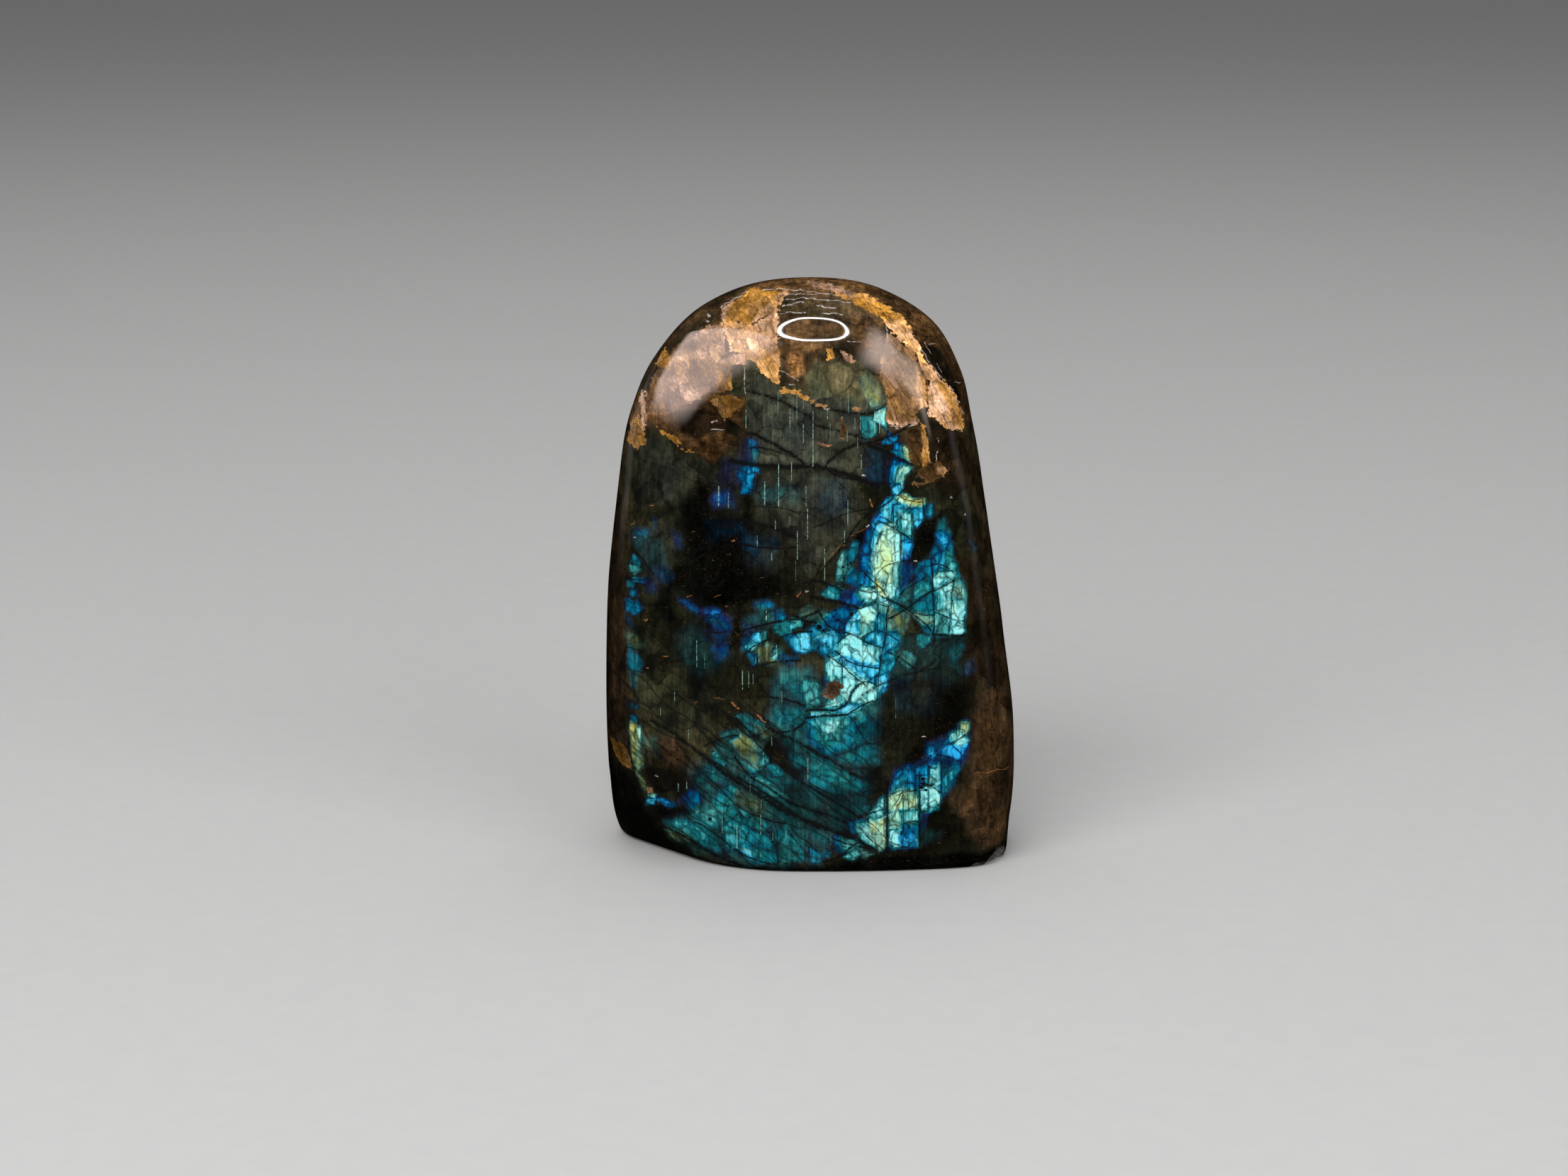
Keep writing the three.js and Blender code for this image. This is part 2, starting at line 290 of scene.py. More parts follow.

# The flash is a painted sheen: a coloured reflection from layers inside the stone, painted into its colour.
# Flash on the show face, painted in this order: hue, strength, softness of the edge in mm, corners (x, z).
FLASH = [
    # broad, dim sheens
    ("teal", 0.17, 1.4, [(-23, 20), (-19, 22), (-14, 20), (-9, 20), (-2, 19), (2, 22), (9, 22), (12, 17),
        (10, 12), (6, 8), (2, 2), (-6, 1), (-16, 1), (-24, 5), (-28, 8), (-22, 12)]),
    ("teal", 0.20, 1.5, [(-6, 40), (0, 40), (4, 34), (13, 34), (13, 26), (6, 22), (-4, 24), (-8, 30)]),
    ("teal", 0.08, 1.6, [(14, 46), (29, 45), (27.6, 41), (29, 38), (25, 35.4), (20, 38), (17, 34.6),
        (14, 37)]),
    ("azure", 0.04, 1.5, [(15, 36), (24, 36), (24, 30), (16, 30)]),
    ("azure", 0.08, 1.6, [(-19, 67), (-13, 67), (-13, 64.5), (-18.5, 63.5)]),
    ("azure", 0.10, 1.4, [(-13, 64.6), (-6, 64.8), (-5.5, 60), (-8, 58.6), (-12, 59.5)]),
    ("azure", 0.08, 1.5, [(1, 76), (6.5, 75), (7.5, 69), (3, 68), (0.5, 70)]),
    ("teal", 0.03, 1.4, [(-9, 90), (-1, 88), (0, 80), (-9, 82)]),
    ("teal", 0.14, 1.6, [(-10.5, 74), (-1, 73), (-2.4, 70), (-9.5, 71)]),
    ("azure", 0.12, 1.2, [(9.8, 81), (13.5, 80.5), (14.5, 76), (13, 74), (10, 75)]),
    # the light that the bright patches lie in
    ("sky", 0.66, 0.5, [(11, 65), (13, 69.5), (16.4, 72), (19, 70), (21, 71), (21, 68), (18.9, 66),
        (18.4, 60), (19, 55), (18, 50), (16.4, 44), (14.4, 38.5), (14, 35.6), (9, 32), (3, 32.4), (3, 42),
        (0, 44), (-1, 46.5), (2, 49), (6, 51.2), (8.6, 54), (9.6, 59)]),
    ("sky", 0.66, 0.5, [(20, 57), (22.4, 60), (24, 65), (25.6, 65), (27, 61), (27, 57.5), (28.6, 55),
        (29, 46), (23, 45.6), (19, 50), (18.6, 53.5)]),
    ("blue", 0.34, 0.5, [(9.4, 9), (11, 11), (14.6, 16.5), (16, 20), (22, 22.4), (24.6, 26), (29.4, 29),
        (29.4, 22), (27, 16.5), (24.8, 14), (22, 11.5), (20.4, 5), (14, 4.6), (10, 6)]),
    # upper right streak
    ("teal", 0.36, 0.3, [(9.6, 86.4), (12, 86.6), (12.2, 83), (9.7, 82.4)]),
    ("sky", 0.55, 0.4, [(10.4, 90.8), (11.3, 90.8), (11.9, 89), (10.8, 88.8)]),
    ("lime", 0.24, 1.0, [(8.6, 93.4), (10.4, 94), (13.4, 89.4), (11.4, 88.8), (10, 90.5)]),
    ("aqua", 0.56, 0.25, [(12.2, 88), (13.9, 88.1), (14.1, 85.5), (13.8, 84), (13, 85.6), (12, 86)]),
    ("azure", 0.85, 0.3, [(14.4, 83.7), (16.4, 83.1), (16, 82), (13.5, 81.5)]),
    ("azure", 0.75, 0.3, [(15.9, 81.4), (17.2, 81.2), (17.1, 80), (15.8, 80)]),
    ("sky", 0.70, 0.3, [(15.2, 79.9), (17.8, 79.7), (18.9, 78.1), (17, 78.3), (15.5, 78.9)]),
    ("lime", 0.75, 0.3, [(17.5, 80.8), (18.7, 79.4), (18.7, 77.9), (17.3, 78.4)]),
    ("blue", 0.35, 0.5, [(14.3, 78.5), (16, 78), (15.5, 74.5), (14.2, 74.4)]),
    ("azure", 0.80, 0.3, [(15.5, 78.4), (17.5, 78), (16.8, 76.5), (16.3, 74), (14.8, 74), (15, 76)]),
    ("mint", 0.85, 0.3, [(16.7, 77.2), (18.6, 77.2), (17.6, 75.5), (17.2, 73.2), (16.3, 71.6), (16, 74)]),
    ("sky", 0.85, 0.25, [(15, 73.7), (16.6, 73.6), (16.6, 71.8), (15.3, 72.3)]),
    # the main flash: top
    ("sky", 0.70, 0.3, [(16.5, 72), (14.2, 71.3), (13, 69.3), (12.2, 67.3), (13.5, 67.3), (15.2, 67),
        (15.5, 70)]),
    ("lime", 0.95, 0.25, [(16.2, 71.7), (17.5, 70), (18.8, 69.8), (19.2, 70.8), (17.5, 71.9)]),
    ("gold", 0.75, 0.3, [(19.3, 70.8), (21, 71.3), (21.2, 69.4), (20.3, 68.7), (18.8, 68.6), (18.7, 69.9)]),
    ("sky", 0.80, 0.3, [(18.8, 69), (20.9, 69), (20.9, 67.8), (20, 66.2), (18.9, 66.5)]),
    ("sky", 0.50, 0.4, [(21.4, 69.5), (22.5, 70.3), (23.0, 69), (22.2, 67.7), (21.3, 68)]),
    ("sky", 0.62, 0.3, [(15.5, 70), (17.5, 69.8), (18.7, 68.3), (18.8, 66), (18.6, 64.3), (17.9, 63.6),
        (16.7, 64), (16.4, 65.4), (15.5, 66.3), (15.2, 67.6)]),
    ("aqua", 0.80, 0.3, [(17.1, 68.6), (18.6, 68), (18.6, 65), (16.9, 65.3)]),
    # the main flash: column, from its blue border to its pale core
    ("blue", 0.80, 0.7, [(12.3, 67.8), (10.7, 65.5), (9.5, 61.5), (9.3, 58), (8.8, 55), (12, 54),
        (13, 60)]),
    ("azure", 0.95, 0.5, [(12.3, 67.2), (13.2, 66), (12.8, 60), (12, 55), (10.0, 54.8), (9.8, 56),
        (10.3, 60), (11, 64.5)]),
    ("sky", 1.05, 0.35, [(12.5, 67), (13.7, 66.5), (13.2, 63), (12.8, 58), (12.2, 55.4), (11.0, 55.2),
        (11.1, 58.5), (11.4, 62), (11.8, 65)]),
    ("azure", 0.85, 0.4, [(16.4, 63), (17.2, 63.6), (18.4, 63), (18.2, 60.4), (16.5, 59.8)]),
    ("blue", 0.40, 0.6, [(16.5, 60), (18.2, 60), (19.2, 58), (18.6, 55.5), (17, 54.7), (16.2, 56)]),
    ("mint", 1.00, 0.25, [(15.2, 66.3), (16.4, 65.3), (16.6, 62), (16.4, 59.5), (16.2, 55), (15.5, 53.2),
        (14.9, 52.8), (13.5, 54.5), (12.4, 56), (11.8, 57.5), (11.9, 60), (12.5, 63), (13, 65),
        (13.9, 66.3)]),
    ("aqua", 1.05, 0.4, [(15.2, 65.8), (16.3, 64.8), (16.3, 56), (15.6, 54.2), (15.2, 56), (15.1, 60)]),
    ("mint", 1.0, 0.3, [(12.8, 64), (13.4, 65.2), (15.2, 65.4), (15.4, 60), (15.0, 55), (13.6, 56.2),
        (12.6, 58), (12.6, 61)]),
    ("lime", 0.85, 0.25, [(12.2, 56.2), (14.6, 53), (12.6, 52.9), (12.0, 54)]),
    ("azure", 0.55, 0.3, [(8.6, 58), (9.8, 57.7), (9.5, 55.5), (8.4, 55.3), (6.6, 56), (6.5, 58),
        (7.5, 59)]),
    ("aqua", 0.42, 0.3, [(4.9, 57), (5.1, 60), (6, 62), (7, 62), (7.2, 59), (6.5, 58), (6.2, 56.3),
        (5, 56.2)]),
    ("sky", 0.55, 0.3, [(7, 62), (7.6, 63.5), (8.6, 63.3), (8.8, 61.5), (8.1, 60), (7.1, 60)]),
    ("teal", 0.48, 0.35, [(2, 54), (3.5, 55.4), (5.5, 55), (7, 54), (6, 52.8), (4, 52.7)]),
    ("blue", 0.62, 0.5, [(6, 53), (7.8, 54.3), (9.5, 53.5), (11, 52), (9, 51), (6.5, 51.5)]),
    ("azure", 0.65, 0.3, [(7.4, 51.8), (10.5, 51.6), (9.5, 50.8), (8, 50.9)]),
    ("aqua", 0.90, 0.25, [(8.8, 53.8), (9.7, 54.6), (12, 54), (12.3, 53), (11, 52.2), (9.8, 52.8)]),
    # the main flash: middle
    ("aqua", 0.90, 0.25, [(12.3, 52.6), (14.8, 52.3), (14.5, 51), (14, 49.3), (12.5, 49.8)]),
    ("aqua", 0.95, 0.25, [(9.5, 51), (12.4, 51.8), (12.5, 46), (11.8, 45.8), (9, 45.7), (7, 46.3),
        (6.3, 47.7), (7.5, 49.5), (8.8, 50.2)]),
    ("mint", 0.95, 0.6, [(9.8, 50.5), (12, 50.6), (12, 47), (9.2, 47.2)]),
    ("sky", 0.80, 0.25, [(6.3, 47.8), (8.6, 50), (8.4, 46.3), (7, 46.3)]),
    ("sky", 0.80, 0.25, [(12.6, 49.6), (14.2, 49.3), (13.8, 47), (12.6, 46.4)]),
    ("lime", 0.36, 0.8, [(15, 50.6), (17.8, 50.3), (17.9, 48.3), (16.8, 46), (15.7, 46.3), (15.1, 48)]),
    ("azure", 0.60, 0.3, [(2, 49), (5.5, 50.9), (7.5, 50.6), (6.2, 48.4), (3.5, 50)]),
    ("azure", 0.60, 0.3, [(1.9, 48.7), (5, 48), (6, 47), (3, 47.3)]),
    ("mint", 0.26, 0.8, [(-2.5, 50.2), (0, 50.9), (2.5, 50.3), (1.5, 49), (-0.5, 49.2)]),
    ("sky", 0.70, 0.35, [(0, 47.8), (2, 46.8), (4.5, 46.4), (5.7, 46.3), (5.7, 44), (4.5, 42.8),
        (3.3, 43.3), (3, 45), (1, 43.5), (-1, 44)]),
    ("aqua", 1.15, 0.25, [(7.5, 46), (9.5, 45), (12.5, 43.6), (12.7, 40.5), (11, 40.3), (8, 40.7),
        (5.7, 42), (5.2, 43.5), (6, 45)]),
    ("aqua", 1.35, 0.5, [(8.5, 45), (12.3, 43.3), (12.4, 40.8), (8.2, 41.2), (7.2, 42.6)]),
    ("sky", 0.85, 0.25, [(10.2, 45.5), (12.3, 46.3), (13.2, 46), (13.5, 43.7), (12.7, 44)]),
    ("sky", 0.75, 0.3, [(14.3, 46), (16, 46), (16.2, 44.3), (15.6, 43.3), (14.2, 43)]),
    ("sky", 0.62, 0.3, [(13.4, 42), (15.7, 43), (15.8, 41), (15.2, 39.4), (13.5, 39.6), (13.2, 41)]),
    ("sky", 0.85, 0.25, [(12.4, 40), (9, 40.5), (6, 42), (5.4, 41.3), (7, 40), (10, 37), (11.3, 37.5),
        (12.6, 39.5)]),
    ("aqua", 0.75, 0.3, [(2.8, 40.2), (3.5, 42), (5.8, 40.3), (5.8, 37.5), (4, 37.5), (3.2, 38.5)]),
    ("aqua", 0.95, 0.25, [(5.9, 40), (7.2, 39.5), (9.8, 37), (8, 36), (6, 36)]),
    ("sky", 0.70, 0.3, [(12.6, 38.2), (14, 38), (14.3, 36), (12.5, 36)]),
    # the right column
    ("teal", 0.35, 0.5, [(24.2, 67), (25.2, 67.5), (25.5, 65.5), (25, 64.8), (23.8, 65.5)]),
    ("azure", 0.85, 0.35, [(23.3, 64.5), (24.5, 65), (25.7, 63.5), (25, 61.9), (24.2, 61.8), (23.5, 63)]),
    ("azure", 0.75, 0.35, [(22.5, 60), (24, 61), (25.5, 61.8), (26.4, 61), (26, 58.5), (25, 57.2),
        (23.7, 58.3), (22.6, 58.6)]),
    ("teal", 0.70, 0.3, [(25.6, 61.5), (26.9, 61), (27.1, 58.5), (26.6, 57.5), (25.8, 57.8), (25.6, 60)]),
    ("azure", 0.60, 0.35, [(20.3, 59), (22.5, 60), (22.5, 57), (22.8, 55.7), (21.5, 56), (20, 57),
        (19.3, 58)]),
    ("aqua", 1.05, 0.25, [(22.8, 56.4), (24, 57.3), (26.8, 57), (26.6, 56), (24, 54.6), (22.8, 54.2)]),
    ("aqua", 1.10, 0.25, [(23, 54), (26.7, 55.8), (26.5, 52), (26, 49), (24.5, 49.5), (23.2, 50)]),
    ("aqua", 0.95, 0.5, [(22.9, 53.5), (23.9, 53.5), (24.2, 49.8), (23.1, 50)]),
    ("mint", 0.80, 0.5, [(26.9, 56), (28.4, 54.5), (28.8, 51.4), (26.6, 52)]),
    ("aqua", 1.05, 0.25, [(26.6, 52), (28.4, 51.8), (29, 46), (27.5, 45.6), (26, 46), (26.2, 49)]),
    ("aqua", 0.70, 0.3, [(23.1, 50), (24.5, 49.5), (25.9, 48.5), (25.7, 46), (23.5, 46), (22.9, 47)]),
    ("teal", 0.42, 0.3, [(19.3, 54.8), (21.5, 56.2), (22.6, 54), (20.5, 52.6), (19, 53)]),
    ("sky", 0.48, 0.3, [(18.5, 50.7), (22.5, 53.8), (23, 50), (22, 49.6), (20, 50.2)]),
    ("mint", 0.55, 0.3, [(18.5, 50.3), (22.8, 49), (22.8, 47.8), (21.3, 47.2)]),
    ("sky", 0.40, 0.3, [(21, 47), (23, 47), (22.8, 45.7)]),
    ("teal", 0.36, 0.35, [(19.5, 45.5), (21, 46), (22.8, 45.2), (22.7, 44.3), (21, 43.2), (19.8, 44)]),
    ("aqua", 0.28, 0.35, [(16, 42.5), (18, 43), (19.8, 41.8), (19, 39.5), (17.5, 40.3)]),
    ("teal", 0.26, 0.5, [(26, 42.8), (28.4, 43.3), (28.5, 42.5), (27, 40.7), (26, 41)]),
    ("azure", 0.16, 0.5, [(29.6, 40.5), (31, 41), (31.3, 38.5), (30, 37.5), (29.4, 38.5)]),
    ("azure", 0.22, 0.4, [(29.7, 62.8), (30.5, 62.5), (31.7, 60.8), (31, 60.6)]),
    ("teal", 0.26, 0.5, [(16.3, 53), (19, 55), (19, 51), (17, 50.8)]),
    # left of the middle
    ("violet", 0.26, 0.9, [(-18, 74), (-16.5, 78.8), (-14, 79), (-12, 83), (-10.2, 82), (-9.8, 78),
        (-12, 74)]),
    ("azure", 0.52, 0.35, [(-13.5, 77), (-11.2, 77.3), (-11, 75.5), (-11.1, 72.3), (-13, 72.5), (-12.6, 74),
        (-13.5, 75)]),
    ("azure", 0.60, 0.3, [(-11.6, 78.1), (-10, 77.3), (-9.8, 76.4), (-11, 76.4)]),
    ("azure", 0.36, 0.3, [(-11.4, 82.4), (-10.4, 82), (-10.2, 80.9), (-11.3, 81)]),
    ("sky", 0.35, 0.3, [(-10.7, 80.6), (-9.6, 80), (-9.8, 78.8), (-10.7, 78.9)]),
    ("blue", 0.34, 0.6, [(-17.6, 73.3), (-15, 73.5), (-14, 71), (-14, 69.5), (-18, 69.3), (-18.8, 71)]),
    ("azure", 0.24, 0.5, [(-33.4, 64.5), (-30.3, 65), (-30, 64), (-32, 63), (-32.5, 61), (-33.6, 62.5)]),
    ("teal", 0.14, 0.7, [(-32.5, 62.8), (-28, 63), (-26.5, 59), (-25.8, 56.8), (-29.3, 56.3), (-30.5, 58),
        (-32.5, 60.5)]),
    ("azure", 0.24, 0.5, [(-29.5, 57.3), (-27, 58.2), (-25.6, 56), (-27, 55.3), (-29, 56)]),
    ("sky", 0.42, 0.3, [(-33.8, 60), (-32.3, 59), (-32.5, 58), (-33.8, 58.8)]),
    ("aqua", 0.45, 0.3, [(-34, 58), (-32, 57.5), (-33, 56.3), (-33.9, 57)]),
    ("sky", 0.55, 0.3, [(-33.4, 55.5), (-30.5, 55.8), (-29.8, 55), (-31, 54.4), (-32.7, 54.8)]),
    ("sky", 0.42, 0.3, [(-34.6, 55), (-33, 54.5), (-33.3, 53.7), (-34.5, 54)]),
    ("azure", 0.42, 0.4, [(-34, 53), (-32.7, 53.2), (-32.6, 52), (-34, 52)]),
    ("blue", 0.32, 0.6, [(-31, 55), (-28.8, 55.2), (-29, 53.3), (-31, 53.3)]),
    ("azure", 0.50, 0.4, [(-35, 51), (-32.5, 51), (-31.5, 50), (-33, 48.5), (-34.7, 49)]),
    ("blue", 0.34, 0.5, [(-26, 65), (-24.4, 64.4), (-24, 62), (-25.2, 61.8), (-25.8, 63.5)]),
    ("azure", 0.22, 0.5, [(-29.8, 67.3), (-29, 67.3), (-29, 65), (-29.8, 65.5)]),
    ("blue", 0.34, 0.4, [(-25, 52.4), (-23, 52.2), (-20.8, 50.5), (-21, 49.6), (-23, 51)]),
    ("teal", 0.10, 1.8, [(-25, 45), (-22, 48), (-16.5, 44.5), (-15.5, 42), (-18, 38.5), (-21, 37.5),
        (-24, 40.5)]),
    ("blue", 0.62, 0.7, [(-20.3, 50.2), (-18, 50.3), (-15.2, 49.3), (-15, 47), (-17, 46.6), (-19.5, 48.5)]),
    ("azure", 0.44, 0.4, [(-19, 48.6), (-16, 47.9), (-15.6, 46.5), (-18.3, 46.7)]),
    ("azure", 0.48, 0.5, [(-18.4, 43), (-16, 44.6), (-15.5, 42.5), (-17.3, 41)]),
    ("blue", 0.36, 0.8, [(-19.5, 46.3), (-15.6, 46.2), (-17, 43.4)]),
    ("azure", 0.45, 0.6, [(-10.3, 52), (-8, 52.6), (-6.8, 51.8), (-9, 50.7), (-10.3, 51)]),
    ("teal", 0.22, 0.8, [(-12.5, 49), (-9, 50.5), (-5.5, 50.8), (-5, 49), (-7, 48), (-10, 47.6),
        (-12, 48)]),
    ("azure", 0.55, 0.35, [(-6.3, 50.5), (-5, 49.6), (-5, 48.8), (-6.5, 48.7)]),
    ("azure", 0.36, 0.4, [(-12.6, 48), (-10.5, 47.3), (-12.5, 46)]),
    ("azure", 0.50, 0.5, [(-12.8, 44.8), (-11.8, 46), (-11, 46), (-11.8, 43.5), (-12.6, 43)]),
    ("sky", 1.00, 0.3, [(-12.3, 43.6), (-11, 45.8), (-10, 46.5), (-9.3, 45), (-11, 43.4)]),
    ("aqua", 0.48, 0.3, [(-9.4, 46.5), (-8.5, 47), (-8.4, 45.5), (-9.2, 45.3)]),
    ("teal", 0.58, 0.3, [(-7, 47.7), (-5, 48.6), (-2, 49.1), (-1.5, 48), (-4, 47.3), (-3.5, 46.3),
        (-5.5, 45.7), (-6.8, 46.5)]),
    ("sky", 0.62, 0.3, [(-5, 45.5), (-2, 46.4), (0.4, 46.2), (1, 43.8), (-1.5, 42.8), (-3, 43), (-4, 44)]),
    ("lime", 0.24, 0.5, [(-10.3, 43), (-8, 44.5), (-5.5, 44), (-5, 41.5), (-7, 40.3), (-10, 40.5),
        (-11, 41.5)]),
    ("azure", 0.50, 0.3, [(-11.6, 42.6), (-10.3, 42.2), (-10.3, 40.8), (-11, 40.2), (-11.3, 41.5)]),
    ("aqua", 0.60, 0.2, [(-6.8, 43.6), (-6.1, 43.5), (-6.1, 41.5), (-6.8, 41.6)]),
    ("azure", 0.32, 0.5, [(-5, 42), (-2.5, 42), (-3.5, 40.8), (-5, 41)]),
    # left edge, from the middle down to the foot
    ("azure", 0.26, 0.5, [(-35, 47.8), (-33.8, 47.6), (-33.5, 46.2), (-34.4, 46.4)]),
    ("lime", 0.16, 0.7, [(-35, 45), (-33, 44.5), (-31.5, 43), (-33, 42), (-35, 42)]),
    ("sky", 0.36, 0.5, [(-34.3, 42), (-33, 41), (-32, 39.5), (-32.5, 37.8), (-34.2, 38)]),
    ("teal", 0.24, 0.5, [(-34.2, 37.5), (-33, 37), (-33, 34.7), (-34, 35)]),
    ("azure", 0.34, 0.35, [(-34.2, 31.9), (-33, 31.6), (-33, 31), (-34, 30.8)]),
    ("azure", 0.50, 0.3, [(-34, 29.4), (-32.7, 29.3), (-32.8, 28), (-34, 28.2)]),
    ("lime", 0.74, 0.35, [(-34.1, 28), (-32.4, 27.8), (-32.2, 25), (-32, 22.8), (-31.6, 20.5),
        (-32.5, 18.8), (-33.5, 21), (-34, 24), (-34.2, 26)]),
    ("lime", 0.30, 0.35, [(-33, 18.6), (-32, 17.6), (-31, 15.5), (-31.6, 14.6), (-32.6, 16.8)]),
    ("lime", 0.85, 0.3, [(-31, 13.8), (-29.2, 14.4), (-29, 13), (-30.8, 13)]),
    ("sky", 0.80, 0.3, [(-31.2, 12.9), (-29.8, 12.8), (-30, 12), (-31, 11.8)]),
    ("azure", 0.55, 0.4, [(-29, 13.6), (-27, 13.4), (-25.7, 12.8), (-27, 12.2), (-29, 12.6)]),
    # lower left
    ("lime", 0.24, 1.0, [(-31.5, 26), (-29.3, 25.3), (-29.3, 22.3), (-31.5, 22.6)]),
    ("blue", 0.80, 0.7, [(-24.8, 13.6), (-23.8, 15), (-22, 16), (-21, 15.3), (-21.3, 12.2), (-22.8, 12.5)]),
    ("azure", 0.66, 0.5, [(-23, 14.5), (-21, 15.3), (-21.5, 12.3), (-22.8, 12.6)]),
    ("teal", 0.34, 0.5, [(-22, 19.5), (-18, 20.4), (-15.5, 18.6), (-17, 17.3), (-19, 17), (-21.5, 17.5)]),
    ("aqua", 0.26, 0.6, [(-21, 17), (-18.5, 18), (-18, 16), (-20, 15.6)]),
    ("teal", 0.48, 0.35, [(-17.5, 16), (-15, 16.8), (-13, 16), (-14, 15), (-16.5, 15)]),
    ("teal", 0.52, 0.6, [(-22, 11.5), (-19, 13.5), (-17, 15.3), (-15, 14.4), (-14, 12), (-16, 9.8),
        (-19, 8.8), (-21.5, 9.8)]),
    ("aqua", 0.45, 0.9, [(-21, 11.2), (-18.5, 12.6), (-17, 11.5), (-19, 10)]),
    ("teal", 0.44, 0.5, [(-27.8, 8.4), (-25, 9.2), (-21, 8.7), (-17, 6.3), (-16.4, 4.5), (-18, 3.3),
        (-21, 5), (-24, 6), (-27, 7.4)]),
    ("teal", 0.60, 0.4, [(-16.5, 8.6), (-14, 11), (-11, 9), (-8, 7), (-6.5, 4), (-6.3, 2), (-9, 1.8),
        (-13, 3.5), (-16, 5)]),
    ("teal", 0.72, 0.7, [(-13.5, 5), (-8.5, 4.6), (-6.8, 2.5), (-9, 2), (-13, 3.6)]),
    ("teal", 0.48, 0.4, [(-12.5, 10.5), (-9.5, 11), (-8, 9), (-9, 8), (-11.5, 9)]),
    ("teal", 0.42, 0.4, [(-7.3, 10), (-4, 7.5), (-1, 4), (-1, 2.3), (-5.5, 2), (-6, 5)]),
    ("teal", 0.50, 0.3, [(-13.6, 12.4), (-11, 11.4), (-12, 10.8), (-13.8, 11.5)]),
    ("lime", 0.30, 0.9, [(-13, 15.4), (-10, 14), (-9, 12.3), (-10.5, 12), (-13.5, 13.6)]),
    ("aqua", 0.38, 0.4, [(-10.5, 18.4), (-8, 18), (-5, 15.5), (-4.5, 14.5), (-7, 15), (-10, 17)]),
    ("teal", 0.50, 0.4, [(-8.5, 21), (-6, 21), (-5, 19.5), (-6, 19), (-8, 20)]),
    ("teal", 0.50, 0.4, [(-14.5, 23), (-11, 21.5), (-9.5, 20), (-11, 19.3), (-13, 20.5)]),
    ("lime", 0.46, 0.5, [(-17, 27), (-13.5, 27.6), (-9.4, 24.6), (-8.8, 21.2), (-10.6, 20.8), (-14.5, 24)]),
    ("aqua", 0.70, 0.2, [(-9.1, 23.6), (-8.2, 22.6), (-8.5, 21.1), (-9.1, 21.4)]),
    ("aqua", 0.24, 0.5, [(-17.5, 25), (-15.5, 25), (-12, 19.6), (-14.5, 19.3), (-18, 22), (-18.3, 23.5)]),
    ("teal", 0.45, 0.4, [(-18.4, 23), (-17, 22.5), (-16, 20.7), (-18.4, 22)]),
    ("teal", 0.38, 0.35, [(-13.8, 30.3), (-12, 30.8), (-9, 29), (-8, 28.3), (-11, 26.9), (-12.5, 28.2)]),
    ("teal", 0.30, 0.3, [(-15.5, 27.5), (-13.7, 27), (-15.5, 26.3), (-17, 26.5)]),
    ("lime", 0.30, 0.5, [(-10, 28), (-7, 28), (-6.5, 27), (-9, 25.4)]),
    ("teal", 0.38, 0.5, [(-5, 32.5), (-2, 32.3), (-0.5, 31), (-1.5, 29), (-4, 29), (-6, 30.3)]),
    ("teal", 0.38, 0.5, [(-4.5, 36), (-1, 36.5), (-1, 33), (-3, 34)]),
    ("aqua", 0.62, 0.35, [(-1.2, 37.3), (1.5, 37), (1.5, 33), (-0.8, 32.8)]),
    ("teal", 0.34, 0.6, [(-4, 23.4), (-1, 23), (-0.3, 21), (-3, 20.6)]),
    ("lime", 0.36, 0.7, [(-27.5, 6.5), (-25, 6), (-23.5, 5), (-25, 4), (-27, 5)]),
    ("mint", 0.28, 0.7, [(-23.5, 3.6), (-21, 3.6), (-20, 2.8), (-22, 2.2)]),
    # lower middle
    ("aqua", 0.92, 0.3, [(5.9, 37.8), (9.5, 37), (8, 35.3), (7.2, 34), (5.5, 33), (3, 32.8), (3.2, 34),
        (5.5, 34.3), (6, 36)]),
    ("aqua", 0.92, 0.25, [(8.8, 37), (10, 37.5), (12.3, 36), (12.2, 34), (11, 32.8), (9, 32.9),
        (7.6, 33.8)]),
    ("aqua", 0.70, 0.25, [(0, 31.4), (3, 31.7), (4.4, 31.2), (0, 30.9)]),
    ("sky", 0.80, 0.3, [(4.7, 31.3), (6, 32.4), (7.5, 32.8), (9.3, 31.8), (7, 31)]),
    ("aqua", 0.66, 0.3, [(7, 30.5), (9.5, 31.5), (10.5, 30), (9.3, 28.8), (8.6, 28.8)]),
    ("sky", 0.72, 0.5, [(-0.6, 30.4), (7, 30.5), (8.5, 28.5), (9.4, 27.2), (10, 26.3), (9.8, 25.5),
        (7, 24.5), (3, 23.7), (1, 25), (0, 26.5)]),
    ("aqua", 0.70, 0.8, [(2, 30), (6, 30), (4.5, 27), (3.5, 24.8), (2, 26)]),
    ("teal", 0.46, 0.9, [(9.6, 27.2), (11, 26), (12, 27), (11, 30)]),
    ("teal", 0.42, 1.3, [(5, 23), (12, 26), (13, 21.5), (8, 21.2), (6, 21.8)]),
    ("teal", 0.42, 0.5, [(0, 23.6), (3, 22), (6.5, 20.2), (10, 17.7), (10, 16), (7, 15.3), (4, 15.5),
        (0, 17.6)]),
    ("teal", 0.26, 0.4, [(8.5, 13.6), (11, 13), (11, 12), (9, 11.5)]),
    ("teal", 0.34, 0.5, [(0, 9), (3, 8), (4, 6), (2, 5.5), (0, 7)]),
    ("sky", 0.44, 0.3, [(0, 5), (2.4, 3.2), (2, 2), (0.2, 2)]),
    ("sky", 0.42, 0.3, [(2.6, 4.6), (4, 3.6), (3, 2.9)]),
    ("azure", 0.58, 0.3, [(4.4, 7), (6, 7.3), (6.2, 5), (6, 3.6), (4.8, 4.5)]),
    ("aqua", 0.75, 0.25, [(6.1, 6.8), (8.4, 6.5), (9.2, 5.6), (7.5, 4.4), (6.3, 4.3)]),
